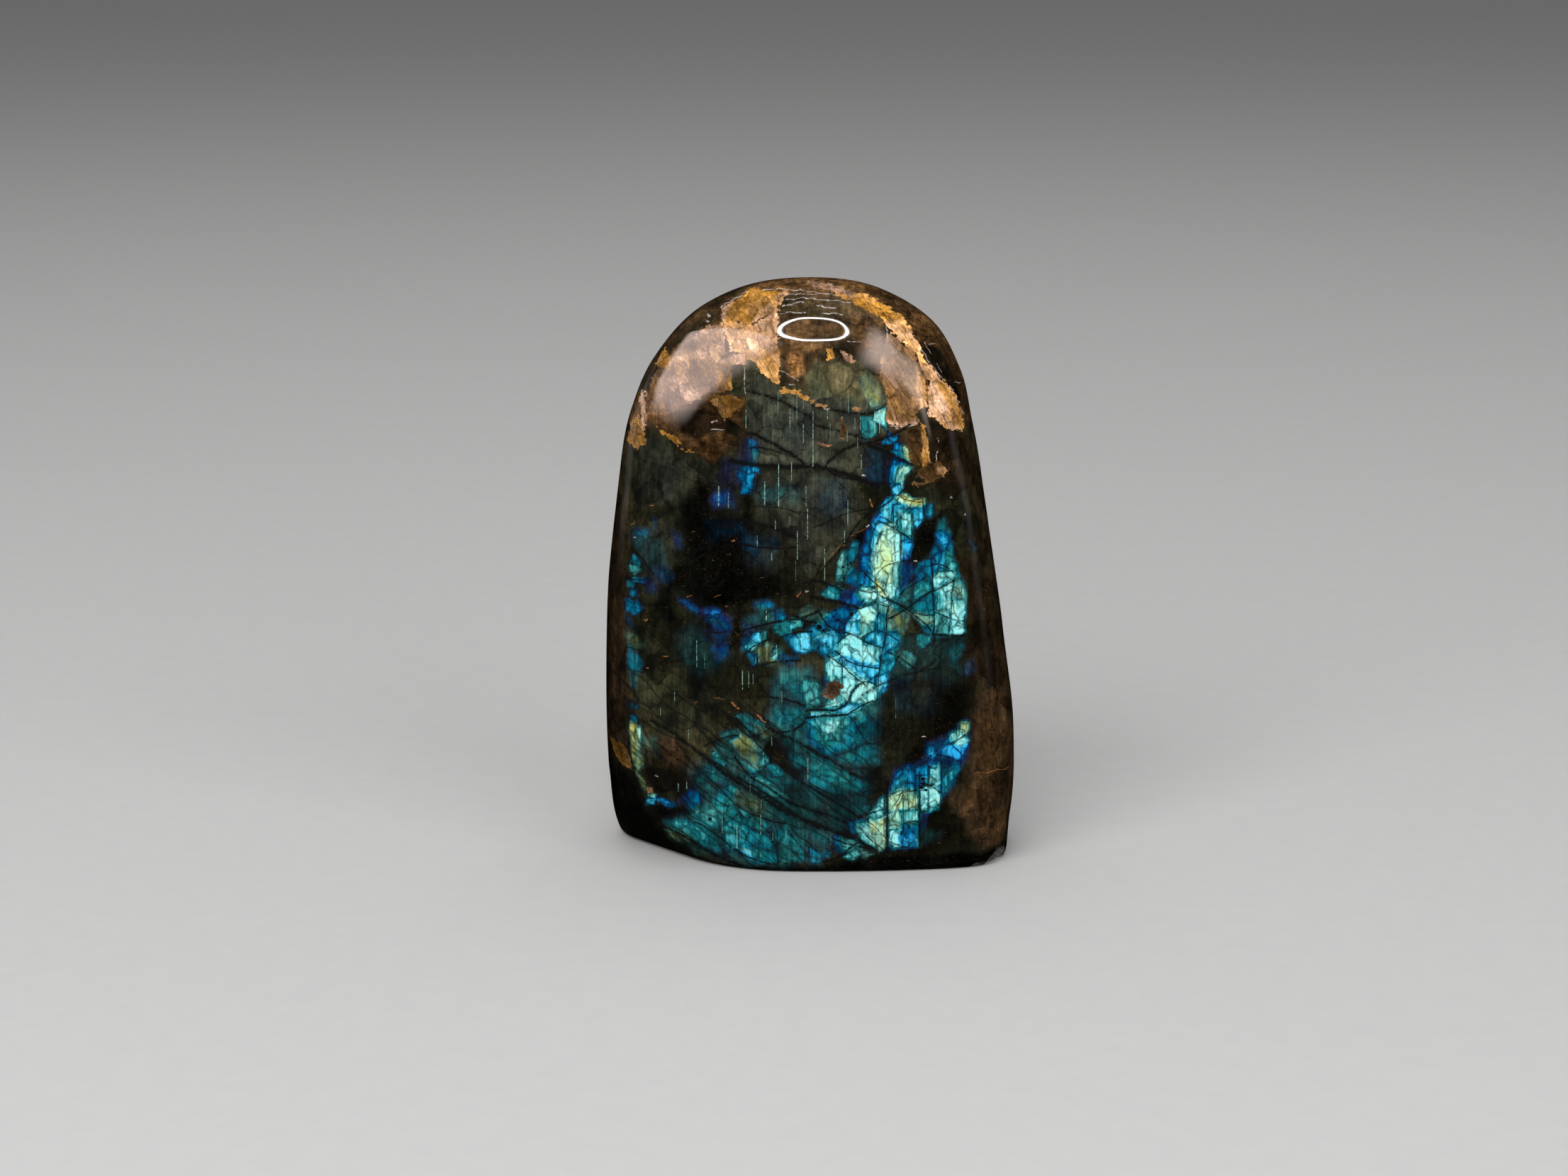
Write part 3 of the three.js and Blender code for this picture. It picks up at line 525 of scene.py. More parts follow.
    ("aqua", 0.75, 0.25, [(6, 3), (7.5, 4), (9.5, 5), (10, 3.8), (8, 2.6)]),
    ("mint", 0.50, 0.3, [(9.5, 4.4), (11.5, 3.8), (10, 3)]),
    ("azure", 0.55, 0.35, [(7, 9.6), (9, 10.4), (10.8, 10.4), (9, 8.5), (8, 7.6)]),
    # the lower right flash
    ("blue", 0.44, 0.8, [(14.6, 16), (16, 19.8), (19, 21), (22, 21.8), (22, 25), (25, 26), (29, 29),
        (29.6, 22), (26, 16), (20, 10), (16, 12)]),
    ("aqua", 1.0, 0.25, [(9, 9.5), (10.5, 10), (12, 8), (12.3, 6), (11.8, 5), (9.8, 6.8), (9, 8)]),
    ("lime", 1.15, 0.3, [(11.5, 10.6), (13.6, 12), (14, 9), (14, 5), (13.2, 4.5), (12.3, 7), (11.3, 9)]),
    ("lime", 1.25, 0.5, [(13, 11), (13.9, 11.5), (13.9, 6), (13, 5.5)]),
    ("aqua", 0.66, 0.3, [(11, 11.4), (13, 13.5), (14, 15), (13.8, 12), (12, 10.8)]),
    ("azure", 0.75, 0.35, [(15, 16), (16, 19), (18.5, 20.5), (19.6, 19.5), (19.6, 16), (18.5, 15.4),
        (16.5, 15.2)]),
    ("sky", 0.75, 0.4, [(16, 17.8), (17.5, 19), (18.3, 18), (18.3, 16), (16, 16)]),
    ("lime", 0.92, 0.4, [(15.2, 15), (17, 16), (19, 15.7), (20, 14), (20, 11.6), (18, 11.9), (16, 12),
        (15, 13)]),
    ("mint", 1.0, 0.3, [(15, 11.6), (17, 12), (17.3, 9), (17, 6), (16, 5), (15, 6)]),
    ("aqua", 1.1, 0.3, [(15.2, 8), (17, 8), (17.4, 5.2), (15.5, 5.6)]),
    ("azure", 0.62, 0.3, [(17.6, 9.5), (20.2, 9.5), (20.5, 5), (18, 5), (17.6, 7)]),
    ("aqua", 0.95, 0.25, [(17.5, 12), (20.2, 12), (20.2, 9.8), (17.7, 9.8)]),
    ("sky", 0.95, 0.3, [(20.7, 18), (22, 20), (24, 21.5), (24.6, 20), (24.6, 16.8), (23, 16.8),
        (22, 17.3)]),
    ("aqua", 1.1, 0.3, [(22.3, 20), (24.3, 20.5), (24.5, 17), (22.5, 17.5)]),
    ("aqua", 1.15, 0.25, [(20.8, 16), (22, 16.2), (23.5, 15.9), (24.5, 14.4), (24, 12.5), (22.5, 11.8),
        (20.8, 12)]),
    ("aqua", 1.3, 0.3, [(21, 15.5), (22.1, 15.5), (22, 12.3), (21, 12.2)]),
    ("sky", 0.50, 0.4, [(25, 20), (28, 21), (28.5, 19.5), (27, 17.5), (25.5, 15.5), (24.8, 15.8),
        (24.9, 18)]),
    ("azure", 1.0, 0.3, [(24.5, 22), (26, 23), (28.5, 21.3), (28.8, 23), (29.4, 25), (29.4, 26), (28.5, 27),
        (29, 28.5), (28.2, 28), (27, 27), (25.5, 25.5), (25, 23.5)]),
    ("aqua", 1.0, 0.3, [(26.6, 26.8), (28.2, 27.8), (29.2, 25.4), (28, 24.4), (26.8, 25.6)]),
    ("lime", 1.0, 0.25, [(28.2, 28.7), (29.4, 28.6), (29.2, 27), (28.4, 27.5)]),
    ("azure", 0.75, 0.35, [(22, 23.4), (22.5, 24.6), (23.5, 24), (23.2, 22.8)]),
    ("azure", 0.60, 0.3, [(20, 20.6), (22, 21), (22, 19), (20, 19.2)]),
    ("teal", 0.08, 0.8, [(21, 8), (25, 8), (24, 6), (21, 5)]),
]

# Body of the stone under the flash: brightness, warmth (0 grey-green, 1 brown), softness in mm, corners.
BODY = [
    (0.36, 0.42, 3.0, [(-45, 112), (45, 112), (45, -2), (-45, -2)]),
    (0.20, 0.23, 2.0, [(-34, 84), (-13, 80), (30, 80), (30, 32), (30, 3), (-30, 3), (-34, 20)]),
    (0.95, 0.08, 1.6, [(-12.3, 93), (-6, 92), (0, 91), (9, 95), (14, 92), (14, 84), (9, 81), (9, 76),
        (0, 77), (-9, 78), (-12, 84)]),
    (0.46, 0.08, 1.6, [(-10.5, 77), (0, 76.5), (9, 75), (11, 69), (8, 65), (3, 60), (-2, 56), (-3, 63),
        (-10, 67)]),
    (0.36, 0.10, 2.0, [(-33, 82), (-20, 80), (-18, 75), (-24, 70), (-32, 69)]),
    (0.48, 0.06, 1.2, [(-32, 74), (-27, 73), (-26, 70.5), (-30, 69.5), (-32, 71)]),
    (0.40, 0.15, 1.5, [(-33.5, 66), (-28, 67), (-25.5, 65), (-26, 58), (-29, 55.5), (-33.5, 55)]),
    (0.03, 0.15, 1.8, [(-25, 70), (-20, 76), (-18.5, 73), (-18.5, 68.5), (-13.3, 68), (-13, 74), (-12, 76),
        (-10.4, 74), (-10.6, 67.5), (-13, 60), (-7, 57), (-4, 54), (-12.5, 50.5), (-13.5, 45), (-15, 41),
        (-14.5, 50), (-20, 51), (-26, 54), (-30, 51), (-25, 47.5), (-28, 57), (-24, 60)]),
    (0.04, 0.05, 0.8, [(19.6, 67), (21.2, 67.4), (23.2, 67), (23.2, 63.5), (24, 61.5), (22, 60.2),
        (19.7, 58.5), (18.6, 61), (19, 64)]),
    (0.03, 0.10, 0.8, [(7.5, 64.6), (11, 66.5), (10, 62), (9.6, 58.5), (8.9, 58), (8.9, 63)]),
    (0.22, 0.48, 1.5, [(27, 60), (31, 60), (36, 46), (37, 36), (30, 36), (29.3, 50)]),
    (0.42, 0.26, 1.8, [(-34, 38), (-26, 39), (-19, 30), (-14, 27), (-18, 22), (-24, 20), (-31, 20),
        (-33, 30)]),
    (0.34, 0.50, 1.6, [(-31, 26), (-25, 26), (-23, 22), (-24, 19.6), (-31, 20)]),
    (0.16, 0.42, 1.0, [(-31.5, 20), (-25, 19.5), (-22, 17), (-25, 15), (-29, 15.2), (-31, 16.5)]),
    (0.02, 0.10, 1.0, [(-30, 12), (-25.6, 12.6), (-23, 12), (-22, 9), (-26, 9.6), (-29.5, 8.2)]),
    # painted shade: the lower left corner, near the floor, darkened
    (0.04, 0.15, 2.0, [(-42, 22), (-33, 17), (-31, 11), (-29, 7), (-24, 3), (-18, -1), (-42, -1)]),
    (0.24, 0.50, 1.5, [(-42, 70), (-36, 70), (-35.3, 45), (-34.8, 20), (-42, 20)]),
    (0.50, 0.30, 1.0, [(-6, 41), (0, 42), (3, 42), (2.5, 38), (5.9, 37.2), (5.7, 35), (4, 34.2), (2, 34.6),
        (-1, 38), (-7, 38)]),
    (0.05, 0.28, 1.4, [(19, 30), (24, 36), (31, 36), (30, 28), (25, 25), (21, 20), (18.5, 21)]),
    (0.44, 0.60, 4.0, [(31.5, 34), (36, 36), (38.5, 24), (38.5, 6), (31, 5), (29, 9), (26, 11), (29.5, 18),
        (30.5, 26)]),
    (0.06, 0.30, 1.2, [(20, 11), (26, 15), (29, 9), (31, 4.5), (20, 3), (14, 4)]),
    # painted shade: a dark strip along the foot
    (0.02, 0.15, 1.0, [(-20, 1.0), (2, 1.6), (14, 3.4), (24, 3.6), (40, 3.4), (40, -2), (-20, -2)]),
    (0.12, 0.20, 1.0, [(14, 28), (20, 34), (20, 26), (16, 22)]),
    (0.62, 0.72, 1.2, [(-35, 84), (-33, 92), (-28, 99), (-20, 105), (-10, 110), (0, 112), (10, 111),
        (20, 106), (27, 99), (31, 90), (31, 84), (22, 87), (19, 100), (10, 105), (0, 107), (-6, 104),
        (-12, 100), (-12.2, 91), (-20, 90), (-25, 86), (-31, 84)]),
    (0.40, 0.45, 0.8, [(-33, 91), (-29.5, 96.5), (-24, 102), (-17, 106), (-16.5, 103.4), (-21, 101.6),
        (-25.6, 98), (-29, 94), (-31.5, 89)]),
    (0.36, 0.70, 1.0, [(-20, 90), (-12, 90), (-13, 84), (-18, 78), (-24, 81), (-30, 85), (-25, 88)]),
    (0.50, 0.26, 0.6, [(-15, 96), (-12.4, 96), (-12.2, 90.6), (-15.4, 90.6)]),
    (0.10, 0.50, 0.5, [(-25, 87), (-20, 87.8), (-17.2, 87), (-16, 85.8), (-16, 84), (-19, 83.4), (-21, 82),
        (-24.5, 83.6)]),
    (0.16, 0.30, 0.5, [(-15.8, 86.4), (-13, 84.8), (-13.6, 82.4), (-16, 83.6)]),
    (0.15, 0.74, 0.9, [(-20.6, 82.6), (-16, 83.2), (-16.6, 79.6), (-18, 77.6), (-21.4, 79.6)]),
    (0.65, 0.12, 0.6, [(-12.4, 97.2), (-9.8, 95.2), (-6, 92.6), (-6.2, 91.2), (-12.2, 91.2)]),
    (1.00, 0.60, 0.8, [(-6, 104), (0, 104.6), (6, 104), (8, 101.5), (3, 98.6), (-1, 98), (-6, 98)]),
    (1.35, 0.30, 0.8, [(2.5, 96.6), (9.5, 96.5), (13, 95), (14, 89.5), (9, 89.4), (3, 90.6)]),
    (0.50, 0.45, 0.6, [(-5.8, 98), (-1.4, 98.6), (0.5, 94), (-5.8, 93.6)]),
    (0.75, 0.82, 0.5, [(-4.3, 98), (-1.7, 98.4), (-1.0, 94.6), (-3.8, 94)]),
    (0.40, 0.08, 0.8, [(2.5, 81.4), (9.6, 82.6), (9.8, 77.4), (2.8, 78.4)]),
    (0.90, 0.22, 0.5, [(-1.2, 93.4), (0.2, 97), (2.6, 96.6), (2.6, 91), (0.4, 90.4)]),
    (0.85, 0.50, 0.7, [(-5.8, 108.6), (0, 109.2), (9, 107), (13.5, 103.8), (13.5, 96), (9.8, 96.5),
        (8, 100), (6, 104.8), (0, 105.4), (-5.6, 104.6)]),
    (0.70, 0.66, 0.8, [(-16, 107), (-8, 110), (0, 111.4), (10, 110.6), (18, 107), (24, 101.6), (21.6, 102),
        (16, 106), (8, 109.3), (0, 110.3), (-8, 109.3)]),
    (0.90, 0.72, 0.8, [(9.5, 103.5), (13.8, 103), (14, 97), (13, 93), (11, 96), (9.2, 100)]),
    (0.50, 0.80, 0.6, [(18.4, 104.6), (21, 103.4), (24, 99.4), (24.6, 97.4), (22.4, 98.6), (20.4, 99.4),
        (19, 102)]),
    (0.12, 0.40, 0.5, [(20.8, 98.6), (23.2, 98.6), (26.4, 94.8), (28.6, 90), (28, 87.6), (25.6, 92),
        (22.6, 95.6)]),
    (0.30, 0.62, 0.8, [(24, 99), (26.4, 97.4), (28.8, 92), (30, 86), (29, 86), (27.6, 91), (25, 96)]),
    (0.16, 0.44, 0.8, [(21.5, 86.4), (24.6, 85), (30, 81.6), (31.5, 74), (26.6, 71), (22.6, 73), (23, 80)]),
    (0.50, 0.68, 0.6, [(18.3, 84.4), (20.6, 84.4), (20.6, 78), (19, 76.6), (17.6, 79)]),
]

# Tan and ochre crystals: tone (0 pale peach, 0.5 tan, 1 deep ochre), brightness, corners (x, z).
CRYSTALS = [
    # left shoulder
    (0.35, 0.26, [(-29.5, 93), (-25, 98.4), (-20, 102), (-16.2, 103.2), (-16.2, 98.2), (-12.4, 97.6),
        (-15.4, 95.6), (-15.4, 91), (-20, 90.2), (-24, 88), (-27, 86.6), (-30.6, 86), (-31, 90)]),
    # a brighter facet where the left lamp's reflection falls, partly a painted highlight
    (0.25, 0.42, [(-22.4, 100.6), (-20, 102), (-16.2, 103.2), (-16.2, 98.4), (-20, 98.6)]),
    (0.55, 0.22, [(-23, 97.2), (-18, 97.6), (-17.4, 93.6), (-20.6, 93.2), (-22.8, 94.4)]),
    (0.12, 0.50, [(-23.6, 90.2), (-21, 91.6), (-18.6, 91.4), (-20, 90.3), (-23, 89.4)]),
    (0.45, 0.62, [(-25.2, 96.6), (-22.8, 96.8), (-22.7, 92.5), (-24.5, 92.3), (-25.3, 95)]),
    (0.25, 0.60, [(-24.3, 96.6), (-22, 97.7), (-18, 97.9), (-17.6, 97.1), (-20, 96.9)]),
    (0.25, 0.75, [(-17.7, 96.6), (-13.5, 97.4), (-12.2, 97.4), (-12.3, 95.9), (-14.8, 96.1)]),
    (0.82, 0.36, [(-17.2, 96), (-14.8, 96), (-14.4, 91.4), (-16, 90.8), (-17, 92.4)]),
    (0.85, 0.62, [(-29.5, 95), (-27.3, 97.8), (-26.7, 97.3), (-26.6, 94.4), (-29, 94.8)]),
    (0.12, 0.70, [(-31.9, 90), (-31.2, 90), (-31.2, 83), (-31.8, 83.2), (-32.4, 88)]),
    (0.80, 0.50, [(-32.7, 86), (-31.4, 83), (-31.4, 80.5), (-32.5, 79.2), (-34.6, 80), (-34, 84)]),
    (0.85, 0.22, [(-20, 90.3), (-16, 90.2), (-11.9, 90), (-12.2, 88.3), (-15, 86.8), (-16, 86), (-17.4, 88),
        (-19.5, 89.3)]),
    (0.90, 0.50, [(-28.8, 84), (-26.4, 83), (-24.6, 82.4), (-24.2, 81), (-25.4, 81.4), (-27.2, 82.5)]),
    (0.80, 0.30, [(-25, 81.2), (-22.4, 80.3), (-22.0, 79.7), (-24.4, 80.5)]),
    # the ochre crystal and the tan one under it
    (0.95, 0.46, [(-16.5, 105.5), (-14.9, 106.6), (-12.5, 107.9), (-10.7, 108.9), (-5.6, 109), (-4, 108.5),
        (-5.6, 107), (-6.1, 106.2), (-8.3, 104.6), (-11.2, 103.3), (-13.7, 103.8), (-16.3, 103.3)]),
    (0.95, 0.90, [(-13, 107.4), (-10.7, 108.8), (-5.8, 109), (-6.2, 107.6), (-9, 107.2), (-11.6, 106.8)]),
    (0.50, 0.85, [(-11.2, 103.4), (-9.2, 105.4), (-7.4, 107), (-6, 108.4), (-4.2, 108.5), (-6.1, 106.2),
        (-8.3, 104.6)]),
    (0.15, 0.90, [(-16.8, 105.6), (-15.2, 106.4), (-15.6, 104.2), (-16.4, 103.2)]),
    (0.50, 0.86, [(-16.4, 103), (-13.7, 103.5), (-11.2, 103.1), (-8.3, 104.3), (-6.5, 105.8), (-6, 98.8),
        (-9.5, 95.4), (-12.3, 97.5), (-15, 98.5), (-16, 101)]),
    (0.45, 0.90, [(-12, 102.4), (-7.4, 101.8), (-6.4, 99.4), (-8.6, 98.6), (-10.6, 97.6), (-12, 98.6)]),
    (0.30, 0.80, [(-10.5, 103.6), (-6.4, 105.5), (-6.3, 102.2), (-10, 102.6)]),
    (0.20, 0.90, [(-6.6, 105.6), (-6.1, 105.8), (-5.9, 99), (-6.3, 99)]),
    (0.70, 0.80, [(-5.7, 98.8), (-8, 97.5), (-9.9, 95.3), (-8, 93.6), (-6.9, 93), (-5.8, 93.1)]),
    # the middle of the dome
    (0.90, 0.55, [(-5.8, 92.1), (-3, 91.7), (0.3, 89.9), (0.2, 89.1), (-3, 90.7), (-5.8, 91.3)]),
    (0.50, 0.60, [(0.4, 89.3), (2.4, 88.8), (2.2, 88.2), (0.6, 88.5)]),
    (0.55, 0.50, [(8.0, 88.5), (9.3, 88.4), (9.3, 87.9), (8.0, 88.0)]),
    (0.55, 0.10, [(5.4, 86.4), (6.2, 86.2), (6.6, 84), (6.4, 82.4), (5.4, 82.8), (5.6, 84.4)]),
    (0.50, 0.22, [(1, 82), (2.6, 81.9), (4.2, 81.3), (2.6, 81.2)]),
    (1.00, 0.95, [(3.1, 99), (4.6, 99), (4.4, 97), (3.1, 97)]),
    (0.15, 0.65, [(5.6, 98.6), (7, 98), (8.5, 96.6), (7.5, 96.4), (6.2, 97)]),
    # the golden seam and the crystals right of it
    (0.80, 0.62, [(2.6, 110.0), (6, 109.2), (11, 107.9), (16, 105.2), (18, 103.2), (14.6, 102.9),
        (12.8, 104), (9, 106.3), (4, 108.6)]),
    (1.00, 0.88, [(8.4, 106.8), (9.2, 108), (12, 107.1), (15, 105.3), (13.8, 104), (11, 105.4)]),
    (0.20, 0.40, [(-1, 110.4), (3, 110.0), (6, 109.2), (8, 108.4), (4, 109), (-1, 109.8)]),
    (0.55, 1.15, [(14.5, 102.9), (17.5, 103.9), (19, 101.5), (20, 99.5), (20.7, 97.7), (22.3, 95.3),
        (24, 92.9), (25.5, 92.2), (27, 89.6), (28.3, 86.6), (28.9, 84), (28.6, 82.8), (26.5, 83.5),
        (24.5, 85), (22.3, 86.5), (22.0, 92.3), (21, 94), (19.5, 97.5), (17.3, 99.8), (14.7, 102)]),
    (0.85, 0.70, [(24.4, 92.4), (26.6, 89.6), (28.3, 86), (28.6, 83.4), (27, 84.6), (26, 88),
        (24.4, 90.4)]),
    (0.20, 1.10, [(22.2, 92), (23.6, 91.6), (25.2, 88), (25.6, 85), (23.8, 85.8), (22.4, 86.8)]),
    (0.50, 0.33, [(14.3, 101.6), (17.2, 99.6), (19.4, 97.3), (20.9, 94), (21.7, 92), (21.7, 88), (20, 87.3),
        (19.3, 86.5), (20.3, 85.4), (17, 84.6), (14.3, 85.5), (14.2, 90), (13, 93.5), (12.8, 96.5),
        (13.4, 99)]),
    (0.62, 0.36, [(14.4, 90.4), (16.6, 89.6), (17.6, 87.4), (19.4, 86.4), (20.1, 85.5), (17, 84.8),
        (14.4, 85.7)]),
    (0.55, 0.85, [(19.6, 95.4), (21.4, 92.4), (21.7, 88), (20.6, 87.6), (20.2, 91)]),
    (0.15, 0.80, [(14.4, 85.5), (17, 84.9), (20.4, 85.9), (20.4, 85.3), (17, 84.4), (14.6, 84.9)]),
    (0.80, 0.75, [(20.3, 85), (21.2, 84.8), (22.0, 81), (22.7, 78), (22.2, 77), (20.8, 76.6), (20.5, 81)]),
    (0.60, 0.10, [(18.4, 84.2), (20.3, 84.3), (20.7, 78), (20, 77), (18.2, 78.4), (18, 82)]),
    (0.65, 0.10, [(20.2, 76.8), (22.5, 77.6), (24.2, 78.2), (25.6, 76.4), (24.5, 75), (22, 74.6),
        (19.8, 75.6)]),
    (0.35, 0.60, [(23.6, 76.9), (25.4, 76.6), (25, 75.8), (23.8, 76.1)]),
    (0.70, 0.20, [(19.0, 74.8), (21.4, 74.6), (20.5, 73.8), (19.2, 74.0)]),
    # lower down
    (0.35, 0.09, [(2, 34.6), (3.3, 37), (4.5, 37.6), (5.8, 36.5), (5.8, 35), (4.2, 34)]),
    (0.30, 0.50, [(-31.2, 15.4), (-30, 15.5), (-30, 14.6), (-31, 14.3)]),
    (0.85, 0.20, [(-39, 24), (-35.5, 23), (-33.6, 18.8), (-35, 18.3), (-37, 20)]),
]

